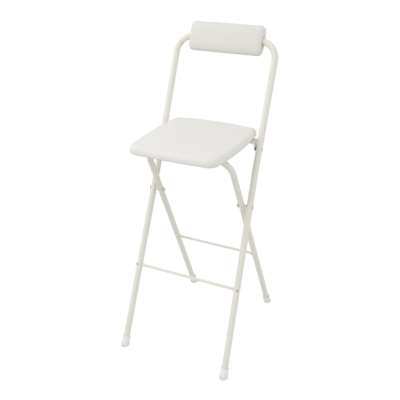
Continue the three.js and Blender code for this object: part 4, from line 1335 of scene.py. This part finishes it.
padTurns = [2 * math.pi * k / pad["around"] for k in range(pad["around"])]


def padSection(x, inset, thin):
    ring = []
    power = pad["squareness"]
    for angle in padTurns:
        cos, sin = math.cos(angle), math.sin(angle)
        reach = (abs(cos) ** power + abs(sin) ** power) ** (-1 / power)
        half = longFrame["radius"] + (pad["front"] if cos > 0 else pad["back"]) - thin
        height = (pad["up"] if sin > 0 else pad["down"]) - inset
        ring.append(Vector((x, -half * reach * cos, height * reach * sin)))
    return ring


def barDrop(x):  # how far the bar has bent down there
    past = np.maximum(0, np.abs(x) - barHalf)
    return longFrame["bend"] - np.sqrt(longFrame["bend"] ** 2 - past**2)


def boreSection(x):
    return [
        Vector((x, -boreRadius * math.cos(turn), boreRadius * math.sin(turn) - barDrop(x)))
        for turn in padTurns]


def padEnd(side):  # from the start of the end rounding to the edge of the bore
    rings = []
    size = pad["endRound"][side]
    for k in range(pad["endSteps"] + 1):
        turn = quarterTurn * k / pad["endSteps"]
        x = side * (padHalf - size * (1 - math.sin(turn)))
        inset = size * (1 - math.cos(turn))
        rings.append(padSection(x, inset, inset * pad["endShare"]))
    rim = rings[-1]
    bore = boreSection(side * padHalf)
    for k in range(1, pad["faceSteps"] + 1):
        share = k / pad["faceSteps"]
        swell = pad["endDome"] * math.sin(math.pi * share) - pad["tuck"] * share ** pad["tuckPower"]
        push = across * (side * swell)
        rings.append([outer.lerp(inner, share) + push for outer, inner in zip(rim, bore)])
    return rings


def makeBackPad():
    left, right = padEnd(-1), padEnd(1)
    body = [padSection(x, 0, 0) for x in np.linspace(left[0][0].x, right[0][0].x, pad["along"] + 1)[1:-1]]
    boreEnd = padHalf - pad["tuck"]
    inner = [boreSection(x) for x in np.linspace(boreEnd, -boreEnd, pad["boreSteps"] + 1)[1:-1]]
    sleeve = ringSkin("backrestPad", left[::-1] + body + right + inner)

    def offBar(spots):  # distance from the cloth round the bar
        return np.hypot(spots[:, 1], spots[:, 2] + barDrop(spots[:, 0])) - boreRadius

    plump(sleeve, lambda spots: offBar(spots) < pad["heldNear"], pad)
    spots, outward = placesOf(sleeve), normalsOf(sleeve)
    x, y, z = spots.T
    free = offBar(spots) > pad["freeFrom"]
    fromSeam = np.abs(x) - (padHalf - pad["seamAt"])
    groove = np.exp(-((fromSeam / pad["seamWidth"]) ** 2))
    moves = -pad["seamDepth"] * groove * ((np.abs(outward[:, 0]) < pad["endwards"]) & free)
    angle = np.arctan2(z, -y)
    uneven = pad["gatherDrift"] * np.sin(angle * pad["gatherDrifts"] + np.sign(x))
    near = np.exp(-np.abs(fromSeam) / pad["gatherReach"]) * (1 - groove)
    moves += pad["gather"] * np.sin(angle * pad["gathers"] + uneven) * near * free
    closing = np.exp(-(((y - pad["closingAt"]) / pad["closingWidth"]) ** 2))
    moves -= pad["closing"] * closing * ((z < 0) & free & (fromSeam < 0))
    moves += pad["lumps"] * softNoise(spots, pad["lumpSize"], pad["lumpSeed"]) * free
    reshape(sleeve, spots + outward * moves[:, None])
    seam = closingPath(sleeve)
    sleeve.data.transform(padPlace)
    dress(smooth(sleeve, pad["sharp"]), shadedPadVinyl, "back_cover", "backrest_cover", "backrest_foam")
    return seam


def closingPath(sleeve):  # along the closing seam under the pad, just off the cloth
    tree = BVHTree.FromObject(sleeve, bpy.context.evaluated_depsgraph_get())
    reach, start = padHalf - pad["endRound"][1] - stitch["short"], stitch["from"]
    path = []
    for x in np.linspace(-reach, reach, stitch["points"]):
        hit = tree.ray_cast(Vector((x, stitch["line"], -start)), upright, start * 2)[0]
        path.append(hit - upright * (stitch["radius"] * stitch["deep"]))
    return path


def makeStitches(path):
    half, radius = stitch["length"] / 2, stitch["radius"]
    waist, thin = stitch["length"] * stitch["taperAt"], radius * stitch["taper"]
    profile = [(-half, 0), (-waist, thin), (0, radius), (waist, thin), (half, 0)]
    one = smooth(turned("stitch", profile, stitch["sides"]), stitch["sharp"])
    row = pathPiece("padStitches", path)
    grow(row, rows, {
        "Piece": one, "Pitch": stitch["pitch"], "Jitter": stitch["jitter"], "Seed": stitch["seed"],
        "Material": thread,
    })
    discard(one)
    row.data.transform(padPlace)
    dress(row, thread, "back_cover", body="root")


makeStitches(makeBackPad())
print("backrest pad made")

# The board stays as it is and gets its finish here
boardLook = cadNodes["seat_board"].data.materials
boardLook.clear()
boardLook.append(plywood)

studio = {
    "floor": 14.0, "floorDrop": 0.0002, "floorColour": (226, 226, 226), "glow": 0.97, "floorGlow": 1.02,
    "white": (1.0, 1.0, 1.0, 1.0), "ambient": 0.765, "aim": (0, 0, 0.5),
    "key": {"place": (-1.75, -1.15, 2.2), "size": 1.8, "power": 20.0},
    "fill": {"place": (2.4, -0.6, 2.0), "size": 2.4, "power": 9.0},
}


def seenShare(tree):  # one for what the camera, a mirror or glass looks at
    path = tree.nodes.new("ShaderNodeLightPath").outputs
    seen = calc(tree, "MAXIMUM", path["Is Camera Ray"], path["Is Glossy Ray"])
    return calc(tree, "MAXIMUM", seen, path["Is Transmission Ray"])


def litTree(holder):
    holder.use_nodes = True
    holder.node_tree.nodes.clear()
    return holder.node_tree


def makeStage():
    half, drop = studio["floor"] / 2, -studio["floorDrop"]
    corners = [(x * half, y * half, drop) for x, y in ((-1, -1), (1, -1), (1, 1), (-1, 1))]
    floor = meshPiece("floor", corners, [(0, 1, 2, 3)])
    material = bpy.data.materials.new("studioFloor")
    tree = litTree(material)
    dull = wire(tree, "ShaderNodeBsdfDiffuse", {"Color": shadeOf(*studio["floorColour"])})
    glow = wire(tree, "ShaderNodeEmission", {"Color": studio["white"], "Strength": studio["floorGlow"]})
    share = calc(tree, "MULTIPLY", seenShare(tree), studio["glow"])
    mixed = wire(tree, "ShaderNodeMixShader", {0: share, 1: dull, 2: glow})
    wire(tree, "ShaderNodeOutputMaterial", {"Surface": mixed})
    floor.data.materials.append(material)


def makeWorld():
    world = bpy.data.worlds.new("studio")
    tree = litTree(world)
    soft, white = (
        wire(tree, "ShaderNodeBackground", {"Color": studio["white"], "Strength": strength})
        for strength in (studio["ambient"], 1.0))
    mixed = wire(tree, "ShaderNodeMixShader", {0: seenShare(tree), 1: soft, 2: white})
    wire(tree, "ShaderNodeOutputWorld", {"Surface": mixed})
    bpy.context.scene.world = world


def addLamp(name):
    lamp = studio[name]
    light = bpy.data.lights.new(name, "AREA")
    light.size = lamp["size"]
    light.energy = lamp["power"]
    aim = Vector(studio["aim"]) - Vector(lamp["place"])
    turn = aim.to_track_quat("-Z", "Y").to_matrix().to_4x4()
    newPiece(name, light).matrix_world = Matrix.Translation(lamp["place"]) @ turn


makeStage()
makeWorld()
addLamp("key")
addLamp("fill")
bpy.context.scene.view_settings.view_transform = "Standard"
print("stage and light made")
